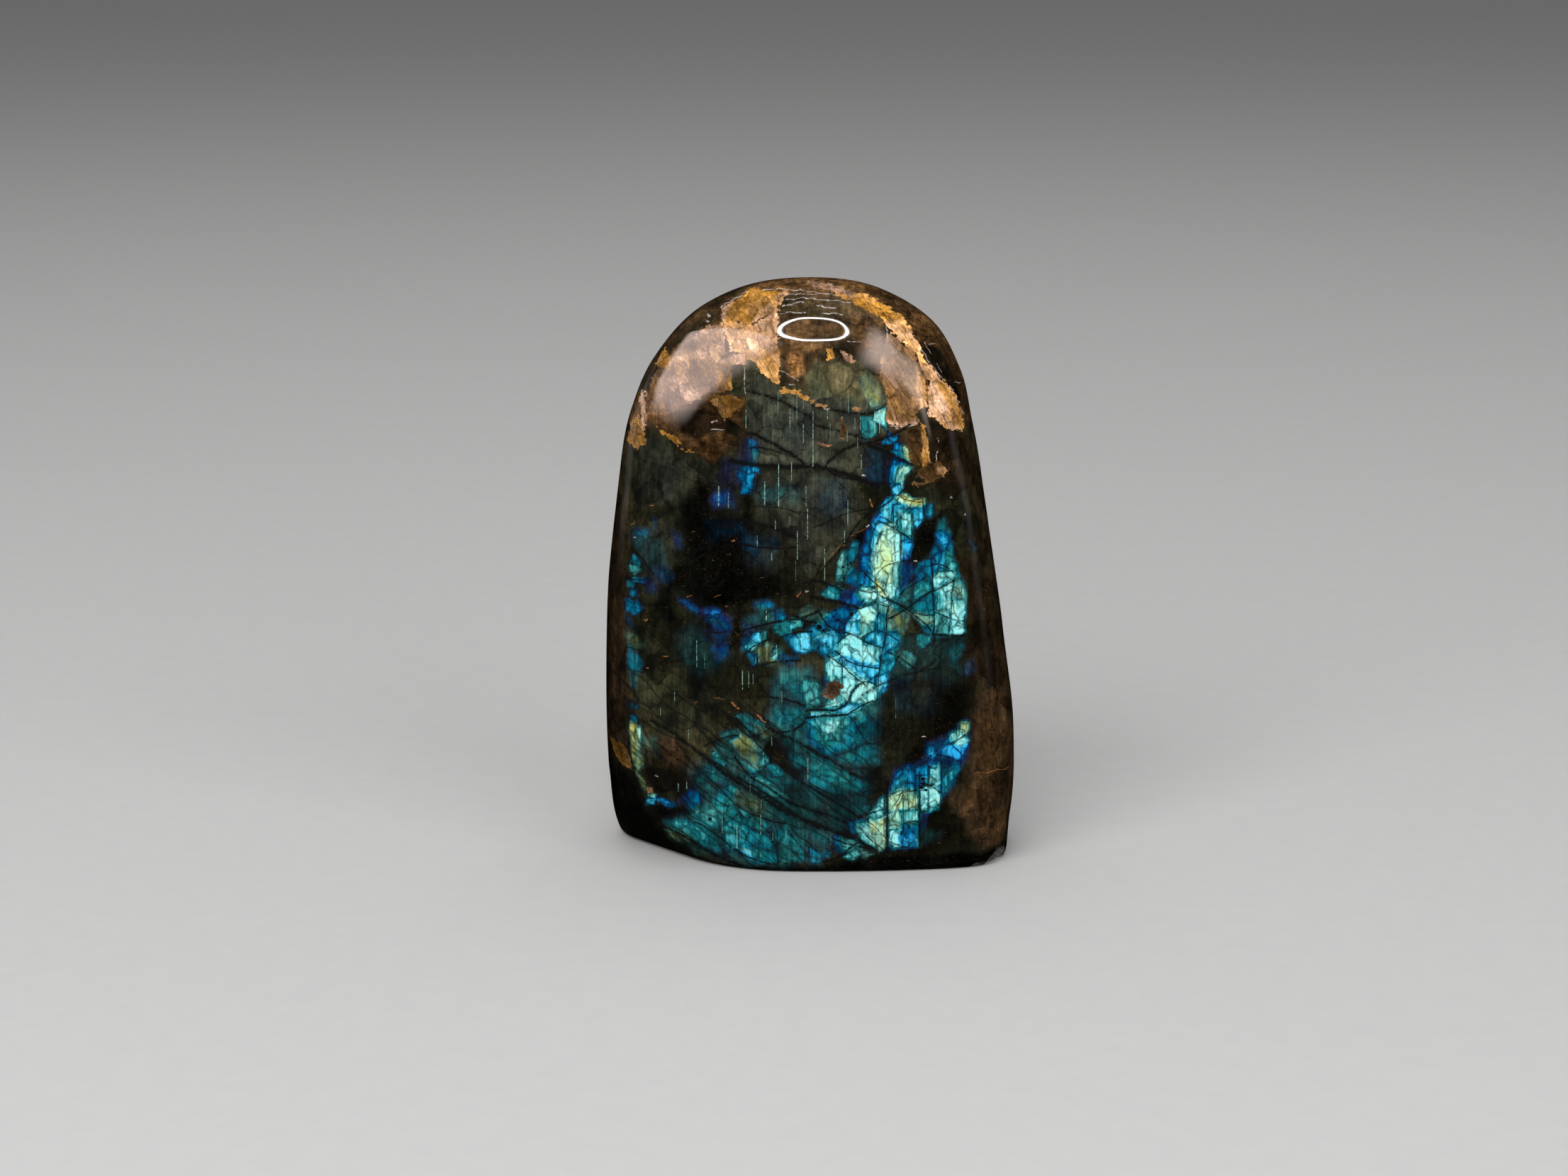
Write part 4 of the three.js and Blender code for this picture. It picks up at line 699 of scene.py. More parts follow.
# Cracks: start (x, z), end (x, z), bend to the left of the way in mm, half width in mm, darkness.
CRACKS = [
    (-12, 91.2, 0, 86.2, 0.8, 0.55, 0.7), (-11.7, 83.6, -1, 77.8, 0.5, 0.45, 0.8),
    (-15, 78.3, 1, 77.6, -0.5, 0.50, 0.9), (0.5, 77.6, 12, 73.8, 0.4, 0.60, 0.9),
    (-11.5, 80.8, -4, 79.4, 0.4, 0.18, 0.7), (0, 85.2, 14, 81, 0.3, 0.35, 0.7),
    (0.3, 88.6, 11, 87, -0.2, 0.30, 0.7), (10.5, 87, 14.2, 89.2, -0.3, 0.25, 0.8),
    (3, 78, 10, 81.6, 0.8, 0.35, 0.8), (10, 81.6, 17.6, 84.3, -0.3, 0.30, 0.85),
    (10.5, 81.6, 19, 77.6, 0.0, 0.40, 0.85), (3.5, 76.3, 13, 74.2, -0.3, 0.30, 0.8),
    (13, 74.4, 17.4, 73.8, 0.1, 0.15, 0.8), (16.2, 72, 20.5, 74.3, 0.5, 0.15, 0.85),
    (16, 72, 13.5, 74.2, 0.0, 0.12, 0.7), (15.5, 71.9, 11.4, 69, 0.4, 0.22, 0.8),
    (11.4, 69, 7.5, 65, -0.3, 0.25, 0.8), (7.5, 65, 1.5, 58, 0.4, 0.22, 0.8),
    (1.5, 58, -3, 53, 0.2, 0.22, 0.8), (0.5, 66.2, 5.5, 68.4, -0.2, 0.18, 0.7),
    (5.5, 68.4, 12, 69.8, 0.2, 0.16, 0.7), (-11.7, 67, -2.5, 64.1, 0.5, 0.42, 0.8),
    (-11, 69.9, -2, 68.6, 0.6, 0.14, 0.7), (-3, 69, 1, 68, 0.4, 0.16, 0.6),
    (-12.8, 63, -2.5, 62.6, -0.5, 0.25, 0.8), (0, 53.2, 9, 51, 0.3, 0.40, 0.85),
    (0, 56.5, 6, 54.4, 0.3, 0.35, 0.8), (-13, 46.5, -4, 48.9, 0.3, 0.22, 0.9),
    (-4, 48.8, 1.5, 50.6, -0.3, 0.30, 0.85), (1.5, 50.5, 5.5, 46.6, -0.6, 0.22, 0.8),
    (-12, 42.8, -7.5, 45.4, 0.2, 0.16, 0.85), (-5.5, 45.5, 0.4, 46.7, 0.4, 0.18, 0.85),
    (-3, 49.7, 0.4, 48.5, -0.2, 0.28, 0.9), (-11, 39.8, -2, 41.3, 0.3, 0.40, 0.7),
    (9.8, 57.7, 14.7, 52.6, 0.3, 0.14, 0.85), (14.6, 52.6, 18.5, 50.3, 0.1, 0.26, 0.9),
    (18.5, 50.3, 23, 46.2, 0.2, 0.18, 0.85), (14.5, 49, 18.4, 51, -0.1, 0.22, 0.85),
    (18.4, 51, 22.4, 53.8, 0.2, 0.22, 0.85), (22.4, 53.8, 27, 56, -0.2, 0.18, 0.9),
    (16.4, 53.5, 21.5, 56.6, 0.1, 0.20, 0.8), (16, 52, 20, 57.5, 0.2, 0.16, 0.7),
    (8.6, 54.9, 12, 54, -0.3, 0.14, 0.8), (12, 54, 15, 52.4, 0.0, 0.14, 0.85),
    (11, 52, 14.8, 52.7, -0.2, 0.12, 0.8), (6.5, 51.2, 9.5, 50.9, 0.3, 0.16, 0.9),
    (9.5, 51, 12.4, 51.9, 0.1, 0.12, 0.85), (12.4, 51.9, 14.6, 51.2, 0.1, 0.14, 0.85),
    (12.4, 55.5, 12.5, 46, 0.05, 0.12, 0.9), (14.7, 52.6, 14.2, 48, -0.1, 0.20, 0.9),
    (14.2, 48, 13.2, 42, 0.2, 0.18, 0.9), (13.2, 42, 12.7, 36, -0.1, 0.16, 0.85),
    (5.9, 46.6, 8.6, 45.7, 0.1, 0.14, 0.85), (8.6, 45.7, 13.4, 43.5, -0.1, 0.16, 0.9),
    (9.4, 45.4, 12.6, 46.9, 0.3, 0.12, 0.85), (12.6, 46.9, 16.4, 44.8, 0.1, 0.12, 0.8),
    (4.4, 43, 7, 41.1, 0.1, 0.16, 0.9), (7, 41.1, 12.8, 39.7, -0.3, 0.16, 0.9),
    (5, 44.4, 7.4, 46.2, 0.3, 0.16, 0.9), (3, 42.2, 6.1, 40.2, 0.1, 0.16, 0.85),
    (6.1, 40.2, 10.6, 36.4, -0.2, 0.16, 0.9), (5.9, 41.9, 5.9, 36.4, 0.0, 0.12, 0.85),
    (9.8, 45.2, 9.7, 40.4, 0.0, 0.10, 0.7), (7.4, 49.6, 12.4, 47.6, -0.2, 0.09, 0.7),
    (12.2, 56.9, 14.5, 59.1, 0.3, 0.10, 0.75), (14.5, 59.1, 20, 60, 0.2, 0.12, 0.8),
    (12.3, 67.3, 16.4, 65.2, 0.3, 0.14, 0.9), (16.4, 65.2, 18.9, 63, 0.3, 0.18, 0.9),
    (16.7, 65.2, 16.6, 54.6, 0.1, 0.12, 0.85), (13.1, 66, 13.1, 58.8, 0.0, 0.08, 0.5),
    (15.4, 70.4, 15.4, 65.6, 0.0, 0.12, 0.85), (18.8, 68.6, 18.8, 63.6, 0.1, 0.12, 0.8),
    (15.4, 66.8, 18, 69.4, -0.2, 0.10, 0.8), (15.6, 68.2, 18.7, 69, 0.2, 0.09, 0.7),
    (12.7, 68.1, 15.3, 66.9, 0.1, 0.14, 0.85), (16.3, 72.2, 20.9, 70.7, -0.5, 0.14, 0.85),
    (20.9, 71.4, 21.1, 68, 0.0, 0.12, 0.8), (11.7, 62, 12.8, 61.8, 0.1, 0.10, 0.5),
    (11.7, 66, 11.6, 57, 0.0, 0.09, 0.7), (22.5, 60.2, 22.8, 53.6, 0.1, 0.14, 0.95),
    (22.8, 53.6, 23.2, 44.3, 0.15, 0.15, 0.9), (27, 56.4, 26.2, 48.6, -0.1, 0.12, 0.85),
    (26.2, 48.6, 25.8, 45.8, 0.0, 0.12, 0.8), (22.7, 59.3, 26.9, 57.1, 0.4, 0.14, 0.85),
    (23, 50, 26, 48.7, 0.1, 0.14, 0.85), (26, 48.7, 28.9, 48.1, -0.1, 0.10, 0.8),
    (18.5, 50.5, 22.9, 49.4, -0.2, 0.14, 0.85), (22.8, 46, 29.2, 45.4, -0.2, 0.28, 0.95),
    (21.3, 47.1, 23.4, 48.7, 0.1, 0.10, 0.8), (23.5, 46.2, 25.7, 48.9, 0.2, 0.12, 0.8),
    (14.4, 42.8, 20, 39, 0.3, 0.30, 0.7), (19.5, 38.8, 23.5, 41.2, -0.4, 0.30, 0.7),
    (9.7, 34.7, 24, 39.5, 0.8, 0.35, 0.7), (-1, 31.7, 4.4, 31.7, 0.2, 0.24, 0.9),
    (4.4, 31.7, 7.2, 33.8, -0.5, 0.24, 0.95), (7.2, 33.8, 9.8, 37.2, 0.4, 0.30, 0.95),
    (9.8, 37.2, 12.6, 36.2, 0.3, 0.16, 0.85), (-1, 30.2, 6.8, 30.8, 0.2, 0.26, 0.95),
    (6.8, 30.8, 12, 33.5, 0.3, 0.20, 0.9), (-7.5, 28.2, -1, 29.6, -1.2, 0.30, 0.8),
    (-9.3, 25.6, -3, 28, 0.3, 0.20, 0.7), (-20, 24.5, -13.7, 26.8, 0.4, 0.18, 0.8),
    (-14.2, 30, -10.6, 26.6, 0.1, 0.26, 0.9), (-10.4, 26.8, -7.8, 28.4, -0.4, 0.14, 0.8),
    (7, 30.8, 9.6, 27.2, 0.2, 0.12, 0.8), (4.5, 27.2, 10.2, 26, 0.4, 0.12, 0.6),
    (10.2, 26, 12.4, 25.3, -0.4, 0.16, 0.8), (12, 25.4, 18, 30, -0.6, 0.22, 0.6),
    (4, 23, 10.1, 25.4, -0.4, 0.12, 0.7), (-9, 28.6, 0.5, 23.9, 0.2, 0.55, 0.75),
    (0.5, 23.9, 7, 20.1, 0.1, 0.50, 0.7), (7, 20.1, 14, 18.6, -0.8, 0.55, 0.7),
    (6.5, 20.3, 14, 16.2, 0.2, 0.25, 0.7), (-0.5, 18, 5, 15.4, -0.4, 0.16, 0.75),
    (5, 15.4, 11, 16.3, -0.5, 0.16, 0.75), (11, 16.4, 14, 16.2, -0.3, 0.25, 0.7),
    (3.7, 40.2, 4.2, 24.5, 0.0, 0.07, 0.4), (-30, 29, -20, 22.4, 0.3, 0.45, 0.75),
    (-20, 22.4, -10, 15.4, -0.3, 0.55, 0.85), (-10, 15.4, 3, 8.8, -0.4, 0.75, 0.85),
    (3, 8.8, 12, 4.7, 0.2, 0.40, 0.85), (-25.5, 26, -14, 18.6, 0.2, 0.30, 0.75),
    (-14, 18.6, -3, 11.6, 0.3, 0.45, 0.8), (-3, 11.6, 8, 7.4, -0.5, 0.40, 0.8),
    (-16, 30.2, -8, 23.2, 0.2, 0.20, 0.8), (-8, 23.2, -1, 17.4, -0.2, 0.30, 0.8),
    (-1, 17.4, 9, 11, 0.2, 0.40, 0.75), (-14.3, 22.6, -10.8, 18.4, -0.2, 0.25, 0.85),
    (-10.8, 18.4, -4, 13.8, 0.2, 0.35, 0.85), (-4, 13.8, 7, 9.8, 0.2, 0.45, 0.8),
    (-21.8, 20.4, -14.6, 13.6, 0.3, 0.16, 0.8), (-14.6, 13.6, -12, 10.4, -0.3, 0.14, 0.8),
    (-25, 18.3, -21, 16.4, 0.4, 0.16, 0.8), (-21, 16.4, -15.4, 12.8, -0.3, 0.14, 0.8),
    (-14.4, 13.4, -9.5, 11, -0.3, 0.18, 0.85), (-9.5, 11, -4.5, 9.8, -0.3, 0.22, 0.8),
    (-22, 9.4, -16.6, 6.2, 0.2, 0.16, 0.85), (-16.6, 6.2, -12, 3, -0.3, 0.30, 0.8),
    (-12, 3, -6.2, 1.6, -0.2, 0.20, 0.8), (-28.4, 7.2, -22, 4.6, 0.3, 0.30, 0.8),
    (-22, 4.6, -13, 1, -0.4, 0.45, 0.8), (-17.6, 9.6, -15, 10.8, 0.1, 0.10, 0.7),
    (-15, 10.8, -6.4, 2.2, 0.5, 0.10, 0.6), (-6.8, 10, -6.2, 1.8, 0.3, 0.12, 0.8),
    (-4.2, 8.6, 0, 3, -0.2, 0.14, 0.8), (2.4, 2.2, 6.5, 4.0, -0.3, 0.26, 0.95),
    (6.5, 4, 9.6, 6.2, 0.2, 0.22, 0.9), (4, 7, 12.2, 4.6, -0.3, 0.20, 0.85),
    (-1.9, 33.2, -0.2, 25, 0.2, 0.10, 0.5), (-9.3, 34.3, -1, 32.6, 0.4, 0.30, 0.75),
    (-7.9, 34.6, -7.7, 32.4, 0.0, 0.12, 0.7), (-19, 32.6, -8, 25, 0.4, 0.14, 0.6),
    (-24, 22.4, -16, 19.5, -0.6, 0.12, 0.6), (14.35, 18, 14.3, 4, 0.15, 0.34, 1.0),
    (14.0, 16.5, 13.9, 7, 0.0, 0.12, 0.8), (20.55, 19.5, 20.6, 5, 0.1, 0.17, 0.95),
    (24.75, 21.8, 24.8, 15.2, -0.1, 0.14, 0.9), (22.1, 21.4, 22.2, 12.2, 0.1, 0.10, 0.85),
    (10.4, 11.2, 14.1, 12.5, 0.1, 0.18, 0.9), (9.2, 9.2, 13.8, 4.6, -0.3, 0.14, 0.85),
    (11, 10, 13.9, 7, 0.2, 0.10, 0.8), (15.1, 12.2, 17.2, 15.8, -0.1, 0.10, 0.8),
    (16, 15, 20.4, 16, 0.2, 0.12, 0.8), (14.9, 9.2, 17.4, 8.6, 0.4, 0.12, 0.8),
    (17.4, 16, 17.5, 5.4, 0.15, 0.10, 0.85), (17.6, 9.6, 20.6, 9.8, 0.2, 0.18, 0.9),
    (18.4, 20, 18.6, 12, -0.2, 0.10, 0.8), (19.7, 20, 19.7, 5.2, 0.1, 0.08, 0.8),
    (15, 6.2, 18.5, 5, -0.2, 0.14, 0.85), (20.6, 17.4, 24.6, 15.2, 0.4, 0.16, 0.9),
    (24.9, 24.6, 29.3, 26.4, -0.3, 0.16, 0.9), (23.6, 22.9, 28.6, 21, 0.2, 0.12, 0.85),
    (26, 25.2, 28.8, 22.4, 0.1, 0.12, 0.85), (24.8, 20.9, 28.6, 21.6, 0.2, 0.08, 0.7),
    (20.7, 20.8, 25, 25.4, -0.3, 0.20, 0.7), (25.2, 19.6, 28.4, 17.6, 0.1, 0.08, 0.7),
    (27, 27.6, 29.2, 27, 0.3, 0.12, 0.8), (-33.8, 24.2, -31.6, 22.8, 0.0, 0.10, 0.7),
    (-32.8, 28, -33, 24, -0.3, 0.10, 0.7), (-31.9, 22.8, -32.1, 19, 0.1, 0.10, 0.7),
    (-34, 61, -29.5, 56.6, 0.4, 0.18, 0.8), (-35, 55.4, -30.4, 56, -0.5, 0.22, 0.8),
    (-33.2, 64.6, -28, 62, 0.5, 0.10, 0.5), (-35, 42.1, -31.4, 41.8, 0.1, 0.16, 0.7),
    (-34.4, 38, -31, 38, -0.2, 0.14, 0.7), (-19.5, 46.3, -15.2, 46.6, -0.2, 0.12, 0.8),
    (-24, 45.2, -16, 44.8, 0.5, 0.10, 0.5), (-17.5, 68.4, -13.4, 69.3, 0.3, 0.14, 0.8),
    (-16, 73, -13, 75.4, 0.1, 0.12, 0.7),
]
CRACK_SPREAD = 2.1

# Bright lamellae in the stone: x, from z, to z, half width in mm, brightness.
LAMELLAE = [
    (-12.1, 84.2, 87.8, 0.14, 0.6), (-12.4, 92.5, 97, 0.10, 0.4), (-8.6, 70, 74.6, 0.15, 1.0),
    (-6.0, 70, 78, 0.13, 1.0), (-6.1, 87.2, 91.3, 0.10, 0.5), (-3.9, 84.6, 88, 0.12, 0.7),
    (-3.6, 74.8, 78.2, 0.12, 0.7), (-2.6, 86.2, 91, 0.10, 0.6), (-1.4, 88, 90.4, 0.10, 0.6),
    (-1.4, 81.8, 85.2, 0.16, 0.5), (0.4, 77.5, 87.6, 0.14, 0.8), (-0.6, 64, 69.6, 0.13, 0.8),
    (-0.9, 70.2, 74, 0.12, 0.7), (-2.5, 60.2, 65.5, 0.12, 0.8), (-3.9, 66.6, 68.2, 0.10, 0.6),
    (-6.6, 65.8, 67.6, 0.12, 0.7), (-10, 62.6, 64.6, 0.12, 0.8), (-8.3, 48.8, 50.6, 0.16, 1.0),
    (-7.3, 60, 61.4, 0.16, 0.7), (-2.8, 56.2, 60, 0.08, 0.4), (2.6, 56.2, 62.2, 0.12, 0.7),
    (3.1, 86.2, 88.2, 0.20, 0.6), (5.8, 82.6, 86.6, 0.20, 0.6), (6.9, 66.4, 71.2, 0.12, 0.8),
    (6.3, 63.4, 65.6, 0.16, 0.7), (7.0, 87.4, 90.4, 0.10, 0.6), (9.2, 84.2, 86.6, 0.12, 0.7),
    (6.8, 82, 84, 0.10, 0.5), (8.7, 80.8, 83, 0.10, 0.5), (9.4, 77, 79.6, 0.20, 0.5),
    (3.6, 83.4, 85.4, 0.08, 0.4), (-25.6, 32.8, 34.6, 0.12, 0.5), (-28.3, 30, 32, 0.14, 0.5),
    (-23, 25.8, 27.6, 0.14, 0.5), (-12.8, 35.6, 39.2, 0.15, 0.8), (-11.6, 36, 39, 0.12, 0.7),
    (-10.8, 36.6, 38.6, 0.12, 0.5), (-9.7, 40.8, 43.6, 0.14, 0.8), (-8.2, 41.2, 44.8, 0.12, 0.7),
    (-6.4, 41.8, 44.2, 0.12, 0.7), (-8.9, 21, 23.6, 0.14, 0.9), (-7.3, 24.9, 26.6, 0.12, 0.6),
    (-16.7, 7.6, 12.4, 0.12, 0.7), (-13.9, 4.6, 9.2, 0.16, 0.9), (-13.3, 6, 9, 0.10, 0.6),
    (-9.4, 7.6, 11.4, 0.13, 0.7), (-9.3, 12.4, 14.6, 0.12, 0.5), (-4.6, 6.8, 8.4, 0.16, 0.5),
    (-7.1, 6.4, 8, 0.12, 0.5), (-0.5, 18, 22.6, 0.12, 0.8), (-21.4, 39.6, 44.6, 0.13, 0.7),
    (-19.9, 39.4, 42.4, 0.10, 0.4), (-17.2, 70, 73.6, 0.20, 0.7), (-15.4, 69.6, 72.4, 0.14, 0.5),
    (-25, 15.4, 17, 0.20, 0.7), (-23.4, 16, 17.4, 0.16, 0.6), (-11.4, 15.8, 18.4, 0.10, 0.4),
    (-5.4, 33.2, 35.4, 0.14, 0.5), (8.2, 84.2, 86.4, 0.09, 0.5), (11.9, 83.6, 87.6, 0.14, 1.0),
    (12.8, 83.4, 87.8, 0.12, 0.9), (-31.7, 83, 90, 0.20, 0.5), (-10.3, 40.6, 41.8, 0.12, 0.5),
    (16.0, 30, 34, 0.10, 0.3),
]
LAMELLA_SPREAD = 0.75

# Dark specks: x, z, radius in mm.
SPECKS = [
    (5.6, 60.1, 0.12), (6.0, 58.8, 0.22), (6.9, 59.2, 0.22), (7.4, 59.6, 0.18), (6.2, 56.7, 0.20),
    (6.0, 57.8, 0.12), (6.9, 58.6, 0.16), (1.6, 47.6, 0.45), (0.9, 48.4, 0.25), (2.4, 46.9, 0.25),
    (7.6, 50.0, 0.30), (-19.0, 10.2, 0.30), (-14.8, 8.8, 0.16), (21.2, 18.2, 0.35), (20.9, 16.6, 0.35),
    (21.8, 16.0, 0.25), (21.3, 17.2, 0.30), (5.5, 53.9, 0.12),
]

# Glints are painted highlights of light in breaks; some of the white ones are pale scratches on the dome.
# Orange and white glints of light in breaks: start (x, z), end (x, z), half width in mm, warmth.
GLINTS = [
    (-14.9, 33.1, -13.3, 31.9, 0.28, 1.0), (-10.4, 31.0, -8.6, 29.4, 0.25, 1.0),
    (-21.8, 32.7, -21.0, 33.0, 0.08, 1.0), (-18.0, 34.0, -16.2, 33.6, 0.09, 1.0),
    (-31.3, 47.8, -30.6, 48.2, 0.28, 1.0), (-27.6, 41.3, -26.9, 41.4, 0.20, 1.0),
    (-31.2, 38.9, -30.6, 38.9, 0.25, 1.0), (-33.8, 65.2, -33.1, 65.6, 0.20, 1.0),
    (-30.1, 69.3, -29.5, 69.6, 0.20, 0.8), (-14.8, 63.4, -14.2, 63.6, 0.18, 0.8),
    (-2.6, 53.4, -1.8, 54.2, 0.25, 1.0), (-1.0, 54.2, -0.4, 54.3, 0.18, 0.4),
    (10.9, 71.6, 11.4, 69.8, 0.22, 0.8), (10.3, 66.2, 10.9, 66.5, 0.20, 0.5),
    (5.0, 62.4, 6.4, 62.9, 0.14, 0.8), (7.6, 64.6, 10.4, 66.0, 0.08, 0.9),
    (3.2, 60.4, 5.4, 62.6, 0.08, 0.9), (1.8, 58.2, 3.0, 60.2, 0.07, 0.9),
    (19.1, 59.7, 19.8, 59.9, 0.20, 0.1), (20.7, 26.2, 21.6, 26.2, 0.16, 0.6),
    (25.9, 71.2, 26.4, 71.3, 0.22, 0.4), (28.4, 67.8, 29.1, 67.9, 0.18, 0.4),
    (-29.5, 18.2, -28.8, 18.1, 0.20, 0.5), (-35.5, 21.2, -35.1, 21.8, 0.16, 0.9),
    (1.2, 81.8, 4.0, 81.2, 0.16, 0.7), (5.6, 82.9, 6.3, 82.6, 0.25, 0.7),
    (9.4, 75.8, 10.2, 75.6, 0.20, 0.5), (-4.1, 92.6, -2.9, 92.5, 0.18, 0.6),
    (2.6, 88.0, 3.8, 88.0, 0.18, 0.5), (7.8, 88.3, 9.0, 88.1, 0.20, 0.8),
    (-18.6, 85.4, -17.6, 85.5, 0.22, 0.5), (-18.4, 83.9, -16.2, 84.1, 0.12, 0.6),
    (18.2, 84.7, 19.9, 85.3, 0.16, 0.4), (14.8, 85.0, 17.2, 84.6, 0.10, 0.4),
    (-16.0, 51.2, -15.5, 51.3, 0.16, 0.7), (-9.8, 56.4, -8.6, 56.8, 0.05, 0.8),
    (-23.2, 52.8, -22.2, 53.2, 0.07, 0.8), (-18.2, 52.8, -16.6, 53.4, 0.06, 0.8),
    (-33.6, 63.0, -33.0, 63.2, 0.12, 0.3), (20.8, 98.3, 22.6, 95.6, 0.10, 0.2),
    (22.6, 95.6, 24.8, 92.6, 0.14, 0.2), (-9.0, 109.2, -2.0, 109.0, 0.12, 0.1),
    (-2.0, 109.0, 5.0, 108.1, 0.12, 0.1), (-4.6, 108.4, 1.0, 108.3, 0.09, 0.1),
    (0.6, 107.6, 7.6, 106.9, 0.10, 0.3), (-6.0, 105.2, -1.0, 105.3, 0.14, 0.2),
    (1.0, 106.4, 4.6, 106.0, 0.16, 0.3), (-5.4, 106.5, -1.4, 107.0, 0.16, 0.1),
    (-4.6, 107.5, 0.6, 107.7, 0.12, 0.1), (2.0, 105.3, 6.0, 105.1, 0.14, 0.2),
    (6.8, 100.4, 9.4, 100.0, 0.12, 0.3), (21.4, 99.4, 22.6, 97.4, 0.06, 0.3),
    (23.6, 95.8, 24.6, 94.0, 0.07, 0.2), (26.0, 91.4, 26.8, 90.4, 0.16, 0.2),
    (-17.0, 105.8, -12.0, 108.6, 0.12, 0.3), (-19.6, 104.4, -18.8, 104.2, 0.25, 0.3),
    (-19.5, 103.4, -18.9, 103.2, 0.3, 0.3), (22.0, 99.2, 23.2, 99.3, 0.06, 0.3),
    (-12.3, 97.0, -12.3, 90.8, 0.10, 0.4), (-31.7, 90, -31.5, 83, 0.14, 0.4),
    (14.3, 103.4, 14.2, 100.6, 0.16, 0.4), (-5.6, 95.0, -2.2, 93.2, 0.10, 0.3),
    (27.0, 91.9, 28.2, 91.4, 0.07, 0.3), (26.5, 89.4, 28.2, 88.0, 0.14, 0.5),
    (28.3, 86.6, 28.9, 85.6, 0.16, 0.4), (23.5, 80.2, 23.6, 78.4, 0.14, 0.5),
    (23.7, 82.6, 23.7, 81.6, 0.10, 0.5), (-22.1, 65.0, -21.6, 65.0, 0.07, 0.9),
    (31.2, 18.9, 35.8, 18.7, 0.18, 1.0), (35.8, 18.7, 38.0, 18.2, 0.16, 0.9),
]

# What every point of the show face has before the tables are painted on it.
PLAIN_FIELDS = dict(flash=0.0, hue=0.4, light=0.3, warm=0.7, crystal=3.0, tone=0.5, gleam=0.5, seam=2.0)
FAR = 1e9
# How deep in mm a patch of flash reaches its full strength, with a crisp edge and with a soft one.
CRISP_CORE, SOFT_CORE = 0.6, 1.4
NO_SEAM = 2.0
CRYSTAL_GROWTH, CRYSTAL_SOFTNESS = 0.25, 0.2

# Between these depths the show face's look passes into that of the sides and the back.
FRONT_DEPTHS = (1.5, -2.5)
# How far inside a chip, and how high above the foot, the surface stops being broken or sawn.
CHIP_BORDER, SAWN_HEIGHTS = (-0.25, 0.1), (0.25, 0.05)

# Crystals of the sides and the back: how many places they are drawn from, between which corners in mm.
SITE_COUNT = 240
SITE_LOW, SITE_HIGH = (-42, -26, -4), (42, 26, 116)


def polygon_distance(x, z, corners):
    """Signed distance to a polygon's outline, negative inside."""
    nearest = np.full(x.shape, FAR)
    inside = np.zeros(x.shape, bool)
    for (ax, az), (bx, bz) in zip(corners, corners[1:] + corners[:1]):
        ex, ez = bx - ax, bz - az
        t = np.clip(((x - ax) * ex + (z - az) * ez) / (ex * ex + ez * ez), 0, 1)
        nearest = np.minimum(nearest, (x - ax - t * ex) ** 2 + (z - az - t * ez) ** 2)
        if az != bz:
            crosses = (z < az) != (z < bz)
            inside ^= crosses & (x < ax + (z - az) * ex / ez)
    return np.where(inside, -1, 1) * np.sqrt(nearest)


def cover(distance, softness):
    return 1 - smooth(-softness, softness, distance)


def unevenness(p, broad_shift, fine_shift):
    """What makes the borders of the painted patches uneven, in mm."""
    return 0.35 * noise(p, 2.6, broad_shift) + 0.18 * noise(p, 1.1, fine_shift)


def blend_in(field, name, value, share):
    field[name] += (value - field[name]) * share


def paint_body(field, x, z):
    for light, warm, softness, corners in BODY:
        share = cover(polygon_distance(x, z, corners), softness)
        blend_in(field, "light", light, share)
        blend_in(field, "warm", warm, share)


def paint_flash(field, x, z):
    for name, strength, softness, corners in FLASH:
        distance = polygon_distance(x, z, corners) - FLASH_GROWTH
        crisp = softness < SEAM_SOFTNESS
        core = smooth(0.1, -CRISP_CORE if crisp else -SOFT_CORE, distance)
        here = strength * (FLASH_AT_RIM + (1 - FLASH_AT_RIM) * core)
        blend_in(field, "flash", here, cover(distance, softness))
        hue_here = HUE[name] - BLUER_AT_RIM * (1 - core)
        blend_in(field, "hue", hue_here, cover(distance - softness, softness))
        border = np.abs(distance) if crisp else np.full(len(x), NO_SEAM)
        field["seam"] = np.where(distance < 0, border, np.minimum(field["seam"], border))


def paint_crystals(field, x, z):
    for tone, gleam, corners in CRYSTALS:
        distance = polygon_distance(x, z, corners)
        share = cover(distance - CRYSTAL_GROWTH, CRYSTAL_SOFTNESS)
        blend_in(field, "tone", tone, share)
        blend_in(field, "gleam", gleam, share)
        field["crystal"] = np.minimum(field["crystal"], distance)


def show_face_fields(p):
    """Flash, body and crystals of the show face at points given in the part's millimetres."""
    x = p[:, 0] + unevenness(p, 1.7, 9.1)
    z = p[:, 2] + unevenness(p, 5.2, 4.4)
    field = {name: np.full(len(p), value) for name, value in PLAIN_FIELDS.items()}
    paint_body(field, x, z)
    paint_flash(field, x, z)
    paint_crystals(field, x, z)
    return field


